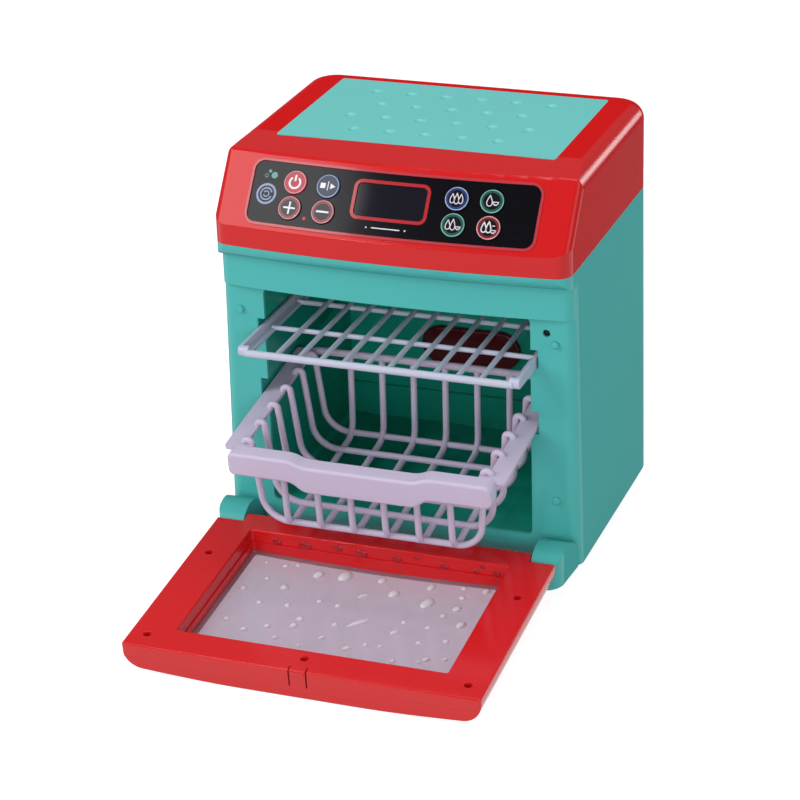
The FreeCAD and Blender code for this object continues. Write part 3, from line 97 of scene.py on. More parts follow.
# %% Floor
def add_floor(reach=4.0):
    mesh = bpy.data.meshes.new("floor")
    corners = [(-reach, -reach, 0), (reach, -reach, 0), (reach, reach, 0), (-reach, reach, 0)]
    mesh.from_pydata(corners, [], [(0, 1, 2, 3)])
    floor = bpy.data.objects.new("floor", mesh)
    scene.collection.objects.link(floor)
    mat = bpy.data.materials.new("floor_white")
    mat.use_nodes = True
    tree = mat.node_tree
    tree.nodes.clear()
    out = tree.nodes.new("ShaderNodeOutputMaterial")
    matte = tree.nodes.new("ShaderNodeBsdfDiffuse")
    matte.inputs["Color"].default_value = (0.50, 0.50, 0.51, 1)
    glow = tree.nodes.new("ShaderNodeEmission")
    glow.inputs["Color"].default_value = (1, 1, 1, 1)
    glow.inputs["Strength"].default_value = 0.84
    both = tree.nodes.new("ShaderNodeAddShader")
    tree.links.new(matte.outputs[0], both.inputs[0])
    tree.links.new(glow.outputs[0], both.inputs[1])
    mix = tree.nodes.new("ShaderNodeMixShader")
    tree.links.new(seen_directly(tree, SEEN), mix.inputs[0])
    tree.links.new(matte.outputs[0], mix.inputs[1])
    tree.links.new(both.outputs[0], mix.inputs[2])
    tree.links.new(mix.outputs[0], out.inputs["Surface"])
    mesh.materials.append(mat)
    return floor


print("floor:", add_floor().name)

# %% World
def set_world(soft_strength=0.26):
    world = bpy.data.worlds.new("studio")
    world.use_nodes = True
    tree = world.node_tree
    tree.nodes.clear()
    out = tree.nodes.new("ShaderNodeOutputWorld")
    soft = tree.nodes.new("ShaderNodeBackground")
    soft.inputs["Strength"].default_value = soft_strength
    white = tree.nodes.new("ShaderNodeBackground")
    white.inputs["Color"].default_value = (1, 1, 1, 1)
    white.inputs["Strength"].default_value = 1.0
    mix = tree.nodes.new("ShaderNodeMixShader")
    tree.links.new(seen_directly(tree, ("Is Camera Ray",)), mix.inputs[0])
    tree.links.new(soft.outputs[0], mix.inputs[1])
    tree.links.new(white.outputs[0], mix.inputs[2])
    tree.links.new(mix.outputs[0], out.inputs["Surface"])
    soft.inputs["Color"].default_value = (0.93, 0.95, 1.0, 1)
    scene.world = world


set_world()
scene.view_settings.view_transform = "Standard"
print("world is set")

# %% Lamps
def area_lamp(name, place, aim, size, power):
    data = bpy.data.lights.new(name, "AREA")
    data.shape = "RECTANGLE"
    data.size, data.size_y = size
    data.energy = power
    lamp = bpy.data.objects.new(name, data)
    scene.collection.objects.link(lamp)
    lamp.location = place
    lamp.rotation_euler = (Vector(aim) - Vector(place)).to_track_quat("-Z", "Y").to_euler()
    return lamp


toy_middle = (0.0, -0.05, 0.14)
area_lamp("key_left", (-1.25, -1.0, 1.15), toy_middle, (0.9, 1.2), 14.5)
area_lamp("fill_front", (0.45, -2.0, 0.6), toy_middle, (1.0, 0.7), 13.0)
area_lamp("fill_right", (1.7, -0.7, 0.9), toy_middle, (1.0, 1.0), 6.0)
area_lamp("top_soft", (0.1, 0.35, 1.6), toy_middle, (1.1, 0.9), 9.0)
area_lamp("fill_back", (1.1, 1.8, 0.4), toy_middle, (1.0, 0.5), 7.0)
area_lamp("spark", (-0.75, -1.5, 1.5), toy_middle, (0.08, 0.08), 3.2)
print("five soft lamps and one small one for the glints")

# %% [markdown]
# ## Moulded plastic
#
# Nearly all of the toy is injection-moulded plastic. Its gloss breaks up a little:
# a very slight orange-peel waviness, fine specks of dust and faint handling marks.
# These are built once as a node group, and each finish sets its own amounts.

# %% Group helper
def new_group(name, inputs, outputs):
    group = bpy.data.node_groups.new(name, "ShaderNodeTree")
    for label, kind, value in inputs:
        socket = group.interface.new_socket(name=label, in_out="INPUT", socket_type=kind)
        socket.default_value = value
    for label, kind in outputs:
        group.interface.new_socket(name=label, in_out="OUTPUT", socket_type=kind)
    return group, group.nodes.new("NodeGroupInput"), group.nodes.new("NodeGroupOutput")


def math_node(tree, operation, a, b):
    node = tree.nodes.new("ShaderNodeMath")
    node.operation = operation
    for socket, value in zip(node.inputs, (a, b)):
        if isinstance(value, (int, float)):
            socket.default_value = value
        else:
            tree.links.new(value, socket)
    return node.outputs[0]


def noise(tree, coords, scale, detail):
    node = tree.nodes.new("ShaderNodeTexNoise")
    node.inputs["Detail"].default_value = detail
    tree.links.new(coords, node.inputs["Vector"])
    if isinstance(scale, (int, float)):
        node.inputs["Scale"].default_value = scale
    else:
        tree.links.new(scale, node.inputs["Scale"])
    return node.outputs["Fac"]


print("helpers for node groups")

# %% Moulded surface group
def moulded_group():
    group, given, gives = new_group(
        "moulded_surface",
        [("Color", "NodeSocketColor", (0.5, 0.5, 0.5, 1)), ("Roughness", "NodeSocketFloat", 0.2),
         ("Peel", "NodeSocketFloat", 0.1), ("Peel Scale", "NodeSocketFloat", 220.0),
         ("Tone", "NodeSocketFloat", 0.05), ("Smudge", "NodeSocketFloat", 0.08),
         ("Dust", "NodeSocketFloat", 0.0)],
        [("Color", "NodeSocketColor"), ("Roughness", "NodeSocketFloat"), ("Height", "NodeSocketFloat")],
    )
    here = group.nodes.new("ShaderNodeTexCoord").outputs["Object"]
    peel = noise(group, here, given.outputs["Peel Scale"], 2.0)
    group.links.new(math_node(group, "MULTIPLY", peel, given.outputs["Peel"]), gives.inputs["Height"])

    flow = math_node(group, "SUBTRACT", noise(group, here, 9.0, 3.0), 0.5)
    lift = math_node(group, "MULTIPLY", flow, given.outputs["Tone"])
    tint = group.nodes.new("ShaderNodeHueSaturation")
    group.links.new(given.outputs["Color"], tint.inputs["Color"])
    group.links.new(math_node(group, "ADD", lift, 1.0), tint.inputs["Value"])

    specks = math_node(group, "GREATER_THAN", noise(group, here, 900.0, 1.0), 0.76)
    patches = noise(group, here, 14.0, 2.0)
    dust = math_node(group, "MULTIPLY", math_node(group, "MULTIPLY", specks, patches), given.outputs["Dust"])
    dusty = group.nodes.new("ShaderNodeMix")
    dusty.data_type = "RGBA"
    group.links.new(dust, dusty.inputs["Factor"])
    group.links.new(tint.outputs["Color"], dusty.inputs["A"])
    dusty.inputs["B"].default_value = (0.80, 0.80, 0.80, 1)
    group.links.new(dusty.outputs["Result"], gives.inputs["Color"])

    smudge = math_node(group, "MULTIPLY", noise(group, here, 38.0, 6.0), given.outputs["Smudge"])
    rough = math_node(group, "ADD", given.outputs["Roughness"], smudge)
    group.links.new(math_node(group, "ADD", rough, math_node(group, "MULTIPLY", dust, 0.4)), gives.inputs["Roughness"])
    return group


moulded = moulded_group()
print("group", moulded.name)

# %% Plastic material
def srgb(r, g, b):
    def lin(c):
        c /= 255.0
        return c / 12.92 if c <= 0.04045 else ((c + 0.055) / 1.055) ** 2.4
    return (lin(r), lin(g), lin(b), 1.0)


def dull_at_grazing(tree, shader, specular):
    """Lets the shine die away on walls seen edge-on, as a finely textured wall's does."""
    facing = tree.nodes.new("ShaderNodeLayerWeight")
    facing.inputs["Blend"].default_value = 0.5
    fade = tree.nodes.new("ShaderNodeMapRange")
    fade.inputs["From Min"].default_value = 0.60
    fade.inputs["From Max"].default_value = 0.66
    fade.inputs["To Min"].default_value = specular
    fade.inputs["To Max"].default_value = 0.004
    tree.links.new(facing.outputs["Facing"], fade.inputs["Value"])
    tree.links.new(fade.outputs["Result"], shader.inputs["Specular IOR Level"])


def soft_edges(tree, radius):
    """Normals that round every sharp edge a little, so that it catches the light."""
    bevel = tree.nodes.new("ShaderNodeBevel")
    bevel.samples = 4
    bevel.inputs["Radius"].default_value = radius
    return bevel.outputs["Normal"]


def plastic(name, color, roughness=0.22, coat=0.0, peel=0.1, peel_scale=220.0, tone=0.05, smudge=0.08,
            dust=0.0, bump=0.02 * MM, specular=0.3, subsurface=0.0, transmission=0.0, edge=0.0, wall=False):
    mat = bpy.data.materials.new(name)
    mat.use_nodes = True
    tree = mat.node_tree
    shader = tree.nodes["Principled BSDF"]
    group = tree.nodes.new("ShaderNodeGroup")
    group.node_tree = moulded
    given = (("Color", color), ("Roughness", roughness), ("Peel", peel), ("Peel Scale", peel_scale),
             ("Tone", tone), ("Smudge", smudge), ("Dust", dust))
    for label, value in given:
        group.inputs[label].default_value = value
    relief = tree.nodes.new("ShaderNodeBump")
    relief.inputs["Distance"].default_value = bump
    tree.links.new(group.outputs["Height"], relief.inputs["Height"])
    if edge:
        tree.links.new(soft_edges(tree, edge), relief.inputs["Normal"])
    tree.links.new(group.outputs["Color"], shader.inputs["Base Color"])
    tree.links.new(group.outputs["Roughness"], shader.inputs["Roughness"])
    tree.links.new(relief.outputs["Normal"], shader.inputs["Normal"])
    shader.inputs["Coat Weight"].default_value = coat
    shader.inputs["Coat Roughness"].default_value = 0.05
    shader.inputs["IOR"].default_value = 1.5
    shader.inputs["Specular IOR Level"].default_value = specular
    if wall:
        dull_at_grazing(tree, shader, specular)
    shader.inputs["Subsurface Weight"].default_value = subsurface
    shader.inputs["Subsurface Scale"].default_value = 3.0 * MM
    shader.inputs["Transmission Weight"].default_value = transmission
    return mat


def finish(mat, *names):
    for name in names:
        mesh = nodes[name].data
        mesh.materials.clear()
        mesh.materials.append(mat)
    print(mat.name, "on", ", ".join(names))


print("plastic material is ready")

# %% [markdown]
# ## The cabinet, top and racks
#
# The cabinet is mint plastic with a soft gloss, a little darker inside the tub.
# The red of the top and the door is polished. The racks
# are a pale lavender that lets a little light in, so they get some subsurface.

# %% Large pieces
mint = plastic("mint_plastic", srgb(76, 182, 177), roughness=0.26, specular=0.26, dust=0.04, edge=0.5 * MM, wall=True)
mint_tub = plastic("mint_tub", srgb(22, 160, 138), roughness=0.22, specular=0.4)
mint_lid = plastic("mint_lid", srgb(110, 203, 198), roughness=0.34, smudge=0.05, dust=0.15)
red = plastic("red_plastic", srgb(208, 24, 26), roughness=0.15, specular=0.3, dust=0.04, edge=0.6 * MM, wall=True)
door_red = plastic("door_red", srgb(214, 26, 30), roughness=0.12, specular=0.4, dust=0.04, edge=0.5 * MM)
lavender = plastic("rack_plastic", srgb(203, 191, 215), roughness=0.26, subsurface=0.06, dust=0.03, edge=0.4 * MM)
shelf_pale = plastic("shelf_plastic", srgb(194, 198, 217), roughness=0.26, subsurface=0.06, dust=0.03)
finish(mint, "cabinet_shell", "rear_cover", "battery_hatch", "base_plate")
finish(mint_tub, "tub_liner")
finish(mint_lid, "top_panel")
finish(red, "top_housing")
finish(door_red, "door_inner_frame", "door_outer_shell")
finish(lavender, "lower_basket", "basket_handle")
finish(shelf_pale, "upper_shelf")

# %% [markdown]
# ## The control panel
#
# The panel is a black gloss sheet in a see-through pink rim. The display window is
# smoked plastic in a red ring. Each button is a black cap that a printed ring and
# sign lie on, so the caps get only their plain colour here.

# %% Panel pieces
black = plastic("panel_black", srgb(6, 5, 12), roughness=0.12, specular=0.22, tone=0.0, smudge=0.06, dust=0.04)
smoke = plastic("display_smoke", srgb(17, 16, 28), roughness=0.07, coat=0.1, tone=0.0, smudge=0.04)
rim_pink = plastic("rim_clear_red", srgb(196, 58, 68), roughness=0.12, coat=0.4, transmission=0.1, edge=0.3 * MM)
ring_red = plastic("ring_red", srgb(178, 34, 42), roughness=0.15, coat=0.5)
cap_black = plastic("cap_black", srgb(18, 13, 19), roughness=0.12, coat=0.1, tone=0.0)
cap_red = plastic("cap_red", srgb(172, 32, 42), roughness=0.12, coat=0.15)
cap_navy = plastic("cap_navy", srgb(32, 40, 66), roughness=0.12, coat=0.15)
lens_red = plastic("lamp_red", srgb(92, 10, 20), roughness=0.08, coat=0.5, peel=1.0, peel_scale=160.0,
                   bump=0.2 * MM, tone=0.4)
led_red = plastic("led_red", srgb(176, 30, 38), roughness=0.18, coat=0.4, transmission=0.2)
finish(black, "control_panel", "door_switch")
finish(smoke, "display_window")
finish(rim_pink, "panel_rim")
finish(ring_red, "display_frame")
finish(cap_red, "button_power")
finish(cap_navy, "button_start_stop")
finish(cap_black, "button_plus", "button_minus", "button_rinse", "button_quick", "button_normal", "button_intense")
finish(lens_red, "interior_lamp_lens")
finish(led_red, "power_led")

# %% Inner pieces, screws and feet
steel = plastic("screw_steel", srgb(150, 150, 155), roughness=0.32, tone=0.02)
steel.node_tree.nodes["Principled BSDF"].inputs["Metallic"].default_value = 1.0
# The door screws get a dull reddish colour: painted reflection of the red well around them, in place of the steel's
# own grey.
screw_red_reflection_paint = plastic("screw_painted_red_reflection", srgb(150, 66, 70), roughness=0.45, tone=0.02)
rubber = plastic("dark_rubber", srgb(40, 40, 42), roughness=0.7, peel=0.6, peel_scale=900.0)
pad_rubber = plastic("pad_rubber", srgb(150, 150, 150), roughness=0.6)
board = plastic("board_green", srgb(30, 90, 50), roughness=0.4, tone=0.2)
film = plastic("cell_film", srgb(60, 66, 76), roughness=0.3)
finish(steel, "board_screws", "base_screws", "rear_cover_screws", "battery_hatch_screw", "battery_contacts",
       "hinge_pin_left", "hinge_pin_right")
finish(screw_red_reflection_paint, "door_screws")
finish(rubber, "feet", "speaker")
finish(pad_rubber, "button_pad")
finish(board, "circuit_board", "interior_lamp_board")
finish(film, "batteries", "display_module")

# %% [markdown]
# ## Door window
#
# The window is a clear sheet with raised water drops moulded into it. Seen over
# the pale floor it looks grey-violet. A faint smoke in the sheet gives that tone.

# %% Clear sheet
def clear_plastic(name, color, roughness, transmission, ior=1.45, peel=0.15):
    mat = plastic(name, color, roughness=roughness, tone=0.03, smudge=0.05, peel=peel, peel_scale=60.0,
                  bump=0.05 * MM, transmission=transmission)
    mat.node_tree.nodes["Principled BSDF"].inputs["IOR"].default_value = ior
    return mat


window_clear = clear_plastic("window_clear", srgb(208, 193, 208), 0.10, 0.72)
# Whiter and less clear than the sheet: painted highlight that stands in for the glints on the drops.
drop_painted_highlight = clear_plastic("drop_painted_highlight", srgb(246, 240, 248), 0.03, 0.30, ior=1.45, peel=0.0)
drop_painted_highlight.node_tree.nodes["Principled BSDF"].inputs["Specular IOR Level"].default_value = 0.9
finish(window_clear, "door_window")

# %% [markdown]
# ## Adding a piece
#
# Every small piece is built in mesh code in its own flat drawing plane, laid on the
# toy with one matrix, and told which body carries it, so that a printed sign goes
# down with its button and the drops swing with the door.

# %% Piece helper
def add_piece(name, bm, mat, body, place=None, smooth=True):
    mesh = bpy.data.meshes.new(name)
    if place is not None:
        bm.transform(place)
    bmesh.ops.recalc_face_normals(bm, faces=bm.faces)
    for face in bm.faces:
        face.smooth = smooth
    bm.to_mesh(mesh)
    bm.free()
    mesh.materials.append(mat)
    piece = bpy.data.objects.new(name, mesh)
    scene.collection.objects.link(piece)
    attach(piece, body)
    return piece


# %% Places on the control face
BOW_AXIS_Y = 919.7
BOW_R = 1018.5
SLOPE_FOOT = (-97.8, 236.4)
SLOPE_TOP = (-67.9, 276.4)
slope_tilt = math.atan2(SLOPE_TOP[1] - SLOPE_FOOT[1], SLOPE_TOP[0] - SLOPE_FOOT[0])


def on_panel(x, u, w=0.0):
    """Matrix that lays a flat drawing, in metres, on the bowed control face."""
    turn = math.asin(x / BOW_R)
    cy, cz = math.cos(slope_tilt), math.sin(slope_tilt)
    foot = Vector((0, SLOPE_FOOT[0] + cy * u - cz * w, SLOPE_FOOT[1] + cz * u + cy * w)) * MM
    axis = Vector((0, BOW_AXIS_Y, 0)) * MM
    bow = Matrix.Translation(axis) @ Matrix.Rotation(turn, 4, "Z") @ Matrix.Translation(-axis)
    return bow @ Matrix.Translation(foot) @ Matrix.Rotation(slope_tilt, 4, "X")


print("control face leans", round(math.degrees(slope_tilt), 1), "degrees")

# %% [markdown]
# ## Flat prints
#
# A print is a thin film. It is drawn as ribbons and filled shapes, then given
# a twentieth of a millimetre of thickness, so it has an edge of its own and never
# shares a face with the cap under it.

# %% Ribbons and fills
FILM = 0.06


def ribbon(bm, points, width, closed=False):
    """A flat line of one width through the points, in millimetres."""
    pts = [Vector(p) for p in points]
    count = len(pts)
    rows = []
    for i, p in enumerate(pts):
        before = pts[i - 1] if closed or i > 0 else p
        after = pts[(i + 1) % count] if closed or i < count - 1 else p
        way = (after - before).normalized()
        side = Vector((-way.y, way.x)) * (width / 2.0)
        rows.append([bm.verts.new(((p + s * side) * MM).to_3d()) for s in (-1, 1)])
    last = count if closed else count - 1
    return [bm.faces.new((rows[i][0], rows[(i + 1) % count][0], rows[(i + 1) % count][1], rows[i][1]))
            for i in range(last)]


def fill(bm, points):
    """A filled shape with the points as its outline, in millimetres."""
    return [bm.faces.new([bm.verts.new((x * MM, y * MM, 0)) for x, y in points])]


def thicken(bm, height=FILM):
    made = bmesh.ops.extrude_face_region(bm, geom=bm.faces[:])
    moved = [item for item in made["geom"] if isinstance(item, bmesh.types.BMVert)]
    bmesh.ops.translate(bm, verts=moved, vec=(0, 0, height * MM))


def circle(r, cx=0.0, cy=0.0, start=0.0, end=360.0, steps=40):
    full = abs(end - start) >= 360.0
    count = steps if full else steps + 1
    out = []
    for i in range(count):
        a = math.radians(start + (end - start) * i / steps)
        out.append((cx + r * math.cos(a), cy + r * math.sin(a)))
    return out


def drop_outline(w, h, cx=0.0, cy=0.0, steps=22):
    """A water drop, tip up: a sine that narrows towards the tip."""
    out = []
    for i in range(steps):
        t = 2.0 * math.pi * i / steps
        half = math.sin(t) * abs(math.sin(t / 2.0)) ** 1.5 / 0.70
        out.append((cx + half * w / 2.0, cy + math.cos(t) * h / 2.0))
    return out


print("a drop outline has", len(drop_outline(2, 3)), "points")

# %% [markdown]
# ## Button signs
#
# The signs are plain pictures that any such panel has: a power sign, a square and
# a triangle, plus and minus, and drops of water beside a dish for the programmes.

# %% Sign drawings
def sign_power(bm):
    ribbon(bm, circle(3.3, 0, -0.3, 125, 415, 30), 1.15)
    ribbon(bm, [(0, 0.6), (0, 2.5), (0, 4.3)], 1.15)


def sign_start_stop(bm):
    fill(bm, [(-4.6, -1.5), (-1.5, -1.5), (-1.5, 1.6), (-4.6, 1.6)])
    ribbon(bm, [(0.1, -2.6), (0.1, 0), (0.1, 2.8)], 0.5)
    fill(bm, [(1.6, -1.7), (4.7, 0.0), (1.6, 1.7)])


def sign_plus(bm):
    fill(bm, [(-3.7, -0.5), (-0.5, -0.5), (-0.5, -3.7), (0.5, -3.7), (0.5, -0.5), (3.7, -0.5),
              (3.7, 0.5), (0.5, 0.5), (0.5, 3.7), (-0.5, 3.7), (-0.5, 0.5), (-3.7, 0.5)])


def sign_minus(bm):
    fill(bm, [(-3.9, -0.55), (3.9, -0.55), (3.9, 0.55), (-3.9, 0.55)])


def dish(bm, cx, cy, r):
    ribbon(bm, circle(r, cx, cy, 180, 360, 14), 0.5)
    ribbon(bm, [(cx - r - 0.2, cy), (cx, cy), (cx + r + 0.2, cy)], 0.5)
    ribbon(bm, [(cx - r * 0.5, cy - r - 0.2), (cx + r * 0.5, cy - r - 0.2)], 0.45)


def sign_rinse(bm):
    for x, h in ((-2.5, 5.6), (0.0, 6.4), (2.5, 5.6)):
        ribbon(bm, drop_outline(2.5, h, x, 0.1), 0.5, closed=True)


def sign_quick(bm):
    ribbon(bm, drop_outline(3.2, 6.4, -1.3, 0.3), 0.5, closed=True)
    dish(bm, 2.3, -0.4, 1.6)


def sign_normal(bm):
    ribbon(bm, drop_outline(2.7, 5.6, -2.8, 0.1), 0.5, closed=True)
    ribbon(bm, drop_outline(2.7, 6.4, 0.1, 0.3), 0.5, closed=True)
    dish(bm, 3.1, -0.9, 1.4)


def sign_intense(bm):
    ribbon(bm, drop_outline(2.8, 6.0, -2.6, 0.2), 0.7, closed=True)
    ribbon(bm, drop_outline(2.8, 6.6, 0.2, 0.4), 0.7, closed=True)
    dish(bm, 2.9, -1.4, 1.5)
    ribbon(bm, [(2.2, 1.2), (3.0, 1.2), (3.8, 1.2)], 0.5)


print("eight signs")

# %% Cap prints
def print_ink(name, color):
    return plastic(name, color, roughness=0.20, coat=0.4, tone=0.12, smudge=0.1)


ink_white = print_ink("ink_white", srgb(226, 222, 230))
ink_pink = print_ink("ink_pink", srgb(222, 154, 162))
ink_sky = print_ink("ink_sky", srgb(146, 172, 212))
ink_leaf = print_ink("ink_leaf", srgb(112, 180, 164))
band_red = print_ink("band_red", srgb(126, 26, 36))
band_blue = print_ink("band_blue", srgb(34, 54, 108))
band_green = print_ink("band_green", srgb(22, 84, 72))
CAP_R = 7.9
CAP_TOP = 1.2
CAP_EDGE_R = 0.9
flat_r = CAP_R - CAP_EDGE_R
print("flat top of a cap ends at radius", flat_r)

# %% Rings that follow the cap's rounded edge
def lathe(bm, profile, steps=56):
    """Turns a list of (radius, height) in millimetres about Z."""
    rings = []
    for r, h in profile:
        ring = []
        for i in range(steps):
            a = 2.0 * math.pi * i / steps
            ring.append(bm.verts.new((r * MM * math.cos(a), r * MM * math.sin(a), h * MM)))
        rings.append(ring)
    for low, high in zip(rings, rings[1:]):
        for i in range(steps):
            j = (i + 1) % steps
            bm.faces.new((low[i], low[j], high[j], high[i]))


def cap_skin(r_in, r_out, steps=6):
    """Profile of a film on the cap between two radii, up and back again."""
    def height(r):
        if r <= flat_r:
            return CAP_TOP
        return CAP_TOP - CAP_EDGE_R + math.sqrt(max(CAP_EDGE_R ** 2 - (r - flat_r) ** 2, 0.0))
    radii = [r_in + (r_out - r_in) * i / steps for i in range(steps + 1)]
    over = [(r, height(r) + FILM) for r in radii]
    under = [(r, height(r) - 0.02) for r in reversed(radii)]
    return over + under + over[:1]


print("profile of a ring has", len(cap_skin(6.9, 7.7)), "points")

# %% Print the eight caps
CAPS = (
    ("power", -67.7, 32.2, sign_power, ink_pink, None, "cap_red"),
    ("start_stop", -44.2, 32.2, sign_start_stop, ink_sky, None, "cap_blue"),
    ("plus", -67.7, 15.0, sign_plus, ink_pink, band_red, "cap_dark"),
    ("minus", -44.2, 15.0, sign_minus, ink_pink, band_red, "cap_dark"),
    ("rinse", 44.2, 32.2, sign_rinse, ink_sky, band_blue, "cap_blue"),
    ("quick", 67.5, 32.2, sign_quick, ink_leaf, band_green, "cap_green"),
    ("normal", 44.2, 15.0, sign_normal, ink_leaf, band_green, "cap_green"),
    ("intense", 67.5, 15.0, sign_intense, ink_pink, band_red, "cap_red"),
)
SIGN_SCALE = 1.12
for name, x, u, draw, ring_ink, band_ink, slot_name in CAPS:
    body = "button_" + name + "_body"
    bm = bmesh.new()
    draw(bm)
    bm.transform(Matrix.Diagonal((SIGN_SCALE, SIGN_SCALE, 1.0, 1.0)))
    thicken(bm)
    add_piece("sign_" + name, bm, ink_white, body, on_panel(x, u, CAP_TOP), smooth=False)
    bm = bmesh.new()
    lathe(bm, cap_skin(7.0, 7.66))
    add_piece("ring_" + name, bm, ring_ink, body, on_panel(x, u))
    if band_ink is not None:
        bm = bmesh.new()
        lathe(bm, cap_skin(5.5, 6.96))
        add_piece("band_" + name, bm, band_ink, body, on_panel(x, u))
print("printed", len(CAPS), "caps")

# %% [markdown]
# ## Panel prints
#
# At the left of the panel is a small round motif in pale blue with bubbles over
# it: here a plain plate seen from above. Under the display is a thin line between
# two dots.

# %% Plate motif and display line
ink_ice = print_ink("ink_ice", srgb(120, 138, 172))
ink_teal = print_ink("ink_teal", srgb(70, 140, 140))
FASCIA_TOP = -0.2

bm = bmesh.new()
ribbon(bm, circle(6.3), 1.5, closed=True)
ribbon(bm, circle(3.9, 0, 0, 20, 340, 30), 1.0)
ribbon(bm, circle(1.8, 0, 0, 200, 520, 24), 0.8)
thicken(bm)
add_piece("plate_motif", bm, ink_ice, "cabinet", on_panel(-86.8, 22.6, FASCIA_TOP), smooth=False)

bm = bmesh.new()
fill(bm, circle(2.2, 2.4, 1.2))
fill(bm, circle(1.1, -1.2, 3.6))
ribbon(bm, circle(1.1, -3.0, 0.4, steps=20), 0.4, closed=True)
thicken(bm)
add_piece("bubble_motif", bm, ink_teal, "cabinet", on_panel(-86.4, 34.2, FASCIA_TOP), smooth=False)

bm = bmesh.new()
ribbon(bm, [(-9.5, 0), (0, 0), (9.5, 0)], 0.7)
for x in (-13.0, 13.0):
    fill(bm, circle(0.55, x, 0.0, steps=16))
thicken(bm)
add_piece("display_line", bm, ink_white, "cabinet", on_panel(0.0, 8.6, FASCIA_TOP), smooth=False)
print("panel prints are on")

# %% [markdown]
# ## Drops on the window
#
# The real drops are low domes in the sheet's own clear plastic. Here they are whiter
# and less clear than the sheet: a painted highlight that stands in for their glints.
# Their places, sizes and slant are written down one by one, because on a moulded
# part they never change.

# %% Places on the door
DOOR_AXIS = (-99.6, 19.9)
DOOR_TILT = 5.0
DOOR_BOW_R = 1560.0
PANE_FACE = -2.0


def on_door(x, t, d, slant=0.0):
    """Matrix for a drawing on the open door: t runs out from the hinge, d up."""
    hinge = Vector((0, DOOR_AXIS[0], DOOR_AXIS[1])) * MM
    tilt = Matrix.Translation(hinge) @ Matrix.Rotation(math.radians(DOOR_TILT), 4, "X")
    return tilt @ Matrix.Translation(Vector((x, -t, d)) * MM) @ Matrix.Rotation(math.radians(slant), 4, "Z")


def pane_height(x):
    return PANE_FACE + DOOR_BOW_R - math.sqrt(DOOR_BOW_R ** 2 - x * x)


print("pane rises", round(pane_height(85) - pane_height(0), 2), "mm towards its ends")

# %% Window drops
DROPS = (
    (-74.9, 36.9, 1.5, 1.1, 0), (-61.4, 37.2, 2.0, 1.2, 30), (-53.9, 33.7, 1.6, 1.1, 0), (-67.7, 54.3, 1.7, 1.2, 0),
    (-52.8, 61.2, 2.8, 1.2, 40), (-78.0, 69.6, 2.2, 1.2, 20), (-36.7, 40.9, 3.4, 1.5, 60), (-19.1, 38.6, 4.6, 1.5, 60),
    (5.8, 36.4, 2.6, 1.4, 50), (39.9, 36.3, 2.8, 1.5, 70), (61.3, 33.3, 2.0, 1.2, 0), (77.0, 34.1, 2.6, 1.3, 60),
    (-62.0, 81.6, 1.9, 1.2, 20), (-43.2, 79.7, 2.2, 1.2, 20), (-11.5, 71.0, 2.0, 1.3, 45), (-25.0, 69.0, 1.8, 1.4, 45),
    (18.7, 49.3, 3.4, 1.5, 60), (43.6, 55.5, 4.4, 1.6, 65), (63.8, 43.9, 2.0, 1.2, 0), (-74.8, 105.7, 2.3, 1.1, 10),
    (-46.8, 105.3, 2.1, 1.2, 20), (-59.9, 112.7, 2.2, 1.2, 10), (-31.1, 100.0, 2.6, 1.3, 50), (-29.7, 91.6, 2.3, 1.2, 10),
    (-37.4, 115.1, 1.9, 1.2, 10), (-5.8, 91.5, 2.0, 1.3, 45), (7.6, 86.2, 2.0, 5.0, 48), (36.2, 78.7, 1.8, 1.2, 20),
    (53.5, 81.3, 1.9, 1.3, 20), (58.4, 66.3, 1.9, 1.3, 20), (64.6, 57.3, 2.8, 1.4, 50), (73.2, 74.3, 3.0, 1.5, 50),
    (34.2, 90.7, 2.2, 1.7, 50), (53.3, 98.5, 1.8, 1.2, 0), (69.8, 93.5, 2.1, 1.2, 0), (10.8, 114.8, 2.4, 1.4, 30),
    (21.1, 107.8, 1.6, 1.2, 0), (30.6, 107.4, 1.6, 1.2, 0), (-19.8, 119.3, 1.5, 1.1, 0), (-9.0, 107.2, 1.7, 1.5, 45),
    (43.9, 121.0, 1.9, 1.2, 0), (60.3, 118.4, 1.5, 1.2, 0), (64.1, 115.0, 2.1, 1.4, 40), (75.6, 112.6, 1.9, 1.3, 30),
    (0.0, 55.7, 1.6, 3.0, 45), (-70.0, 131.0, 2.2, 1.3, 20), (-48.0, 135.0, 2.6, 1.4, 40), (-20.0, 138.0, 2.0, 1.2, 0),
    (14.0, 134.0, 3.2, 1.5, 55), (38.0, 140.0, 1.8, 1.2, 10), (66.0, 136.0, 2.6, 1.4, 60),
)


def dome(bm, width, length, rise, place, rings=4, steps=18):
    """A low closed dome with a round foot, laid down by a matrix."""
    rows = []
    for i in range(rings):
        a = 0.5 * math.pi * i / rings
        r = 0.5 * width * math.cos(a)
        h = rise * math.sin(a)
        rows.append([bm.verts.new(place @ (Vector((r * length * math.cos(b), r * math.sin(b), h)) * MM))
                     for b in (2 * math.pi * k / steps for k in range(steps))])
    top = bm.verts.new(place @ Vector((0, 0, rise * MM)))
    for low, high in zip(rows, rows[1:]):
        for k in range(steps):
            j = (k + 1) % steps
            bm.faces.new((low[k], low[j], high[j], high[k]))
    for k in range(steps):
        bm.faces.new((rows[-1][k], rows[-1][(k + 1) % steps], top))
    bm.faces.new(list(reversed(rows[0])))


bm = bmesh.new()
for x, t, size, stretch, slant in DROPS:
    place = on_door(x, t, pane_height(x) - 0.05, slant)
    dome(bm, size * 1.7, stretch, 0.75 * size, place, rings=6)
add_piece("window_drops", bm, drop_painted_highlight, "door")
print(len(DROPS), "drops on the window")
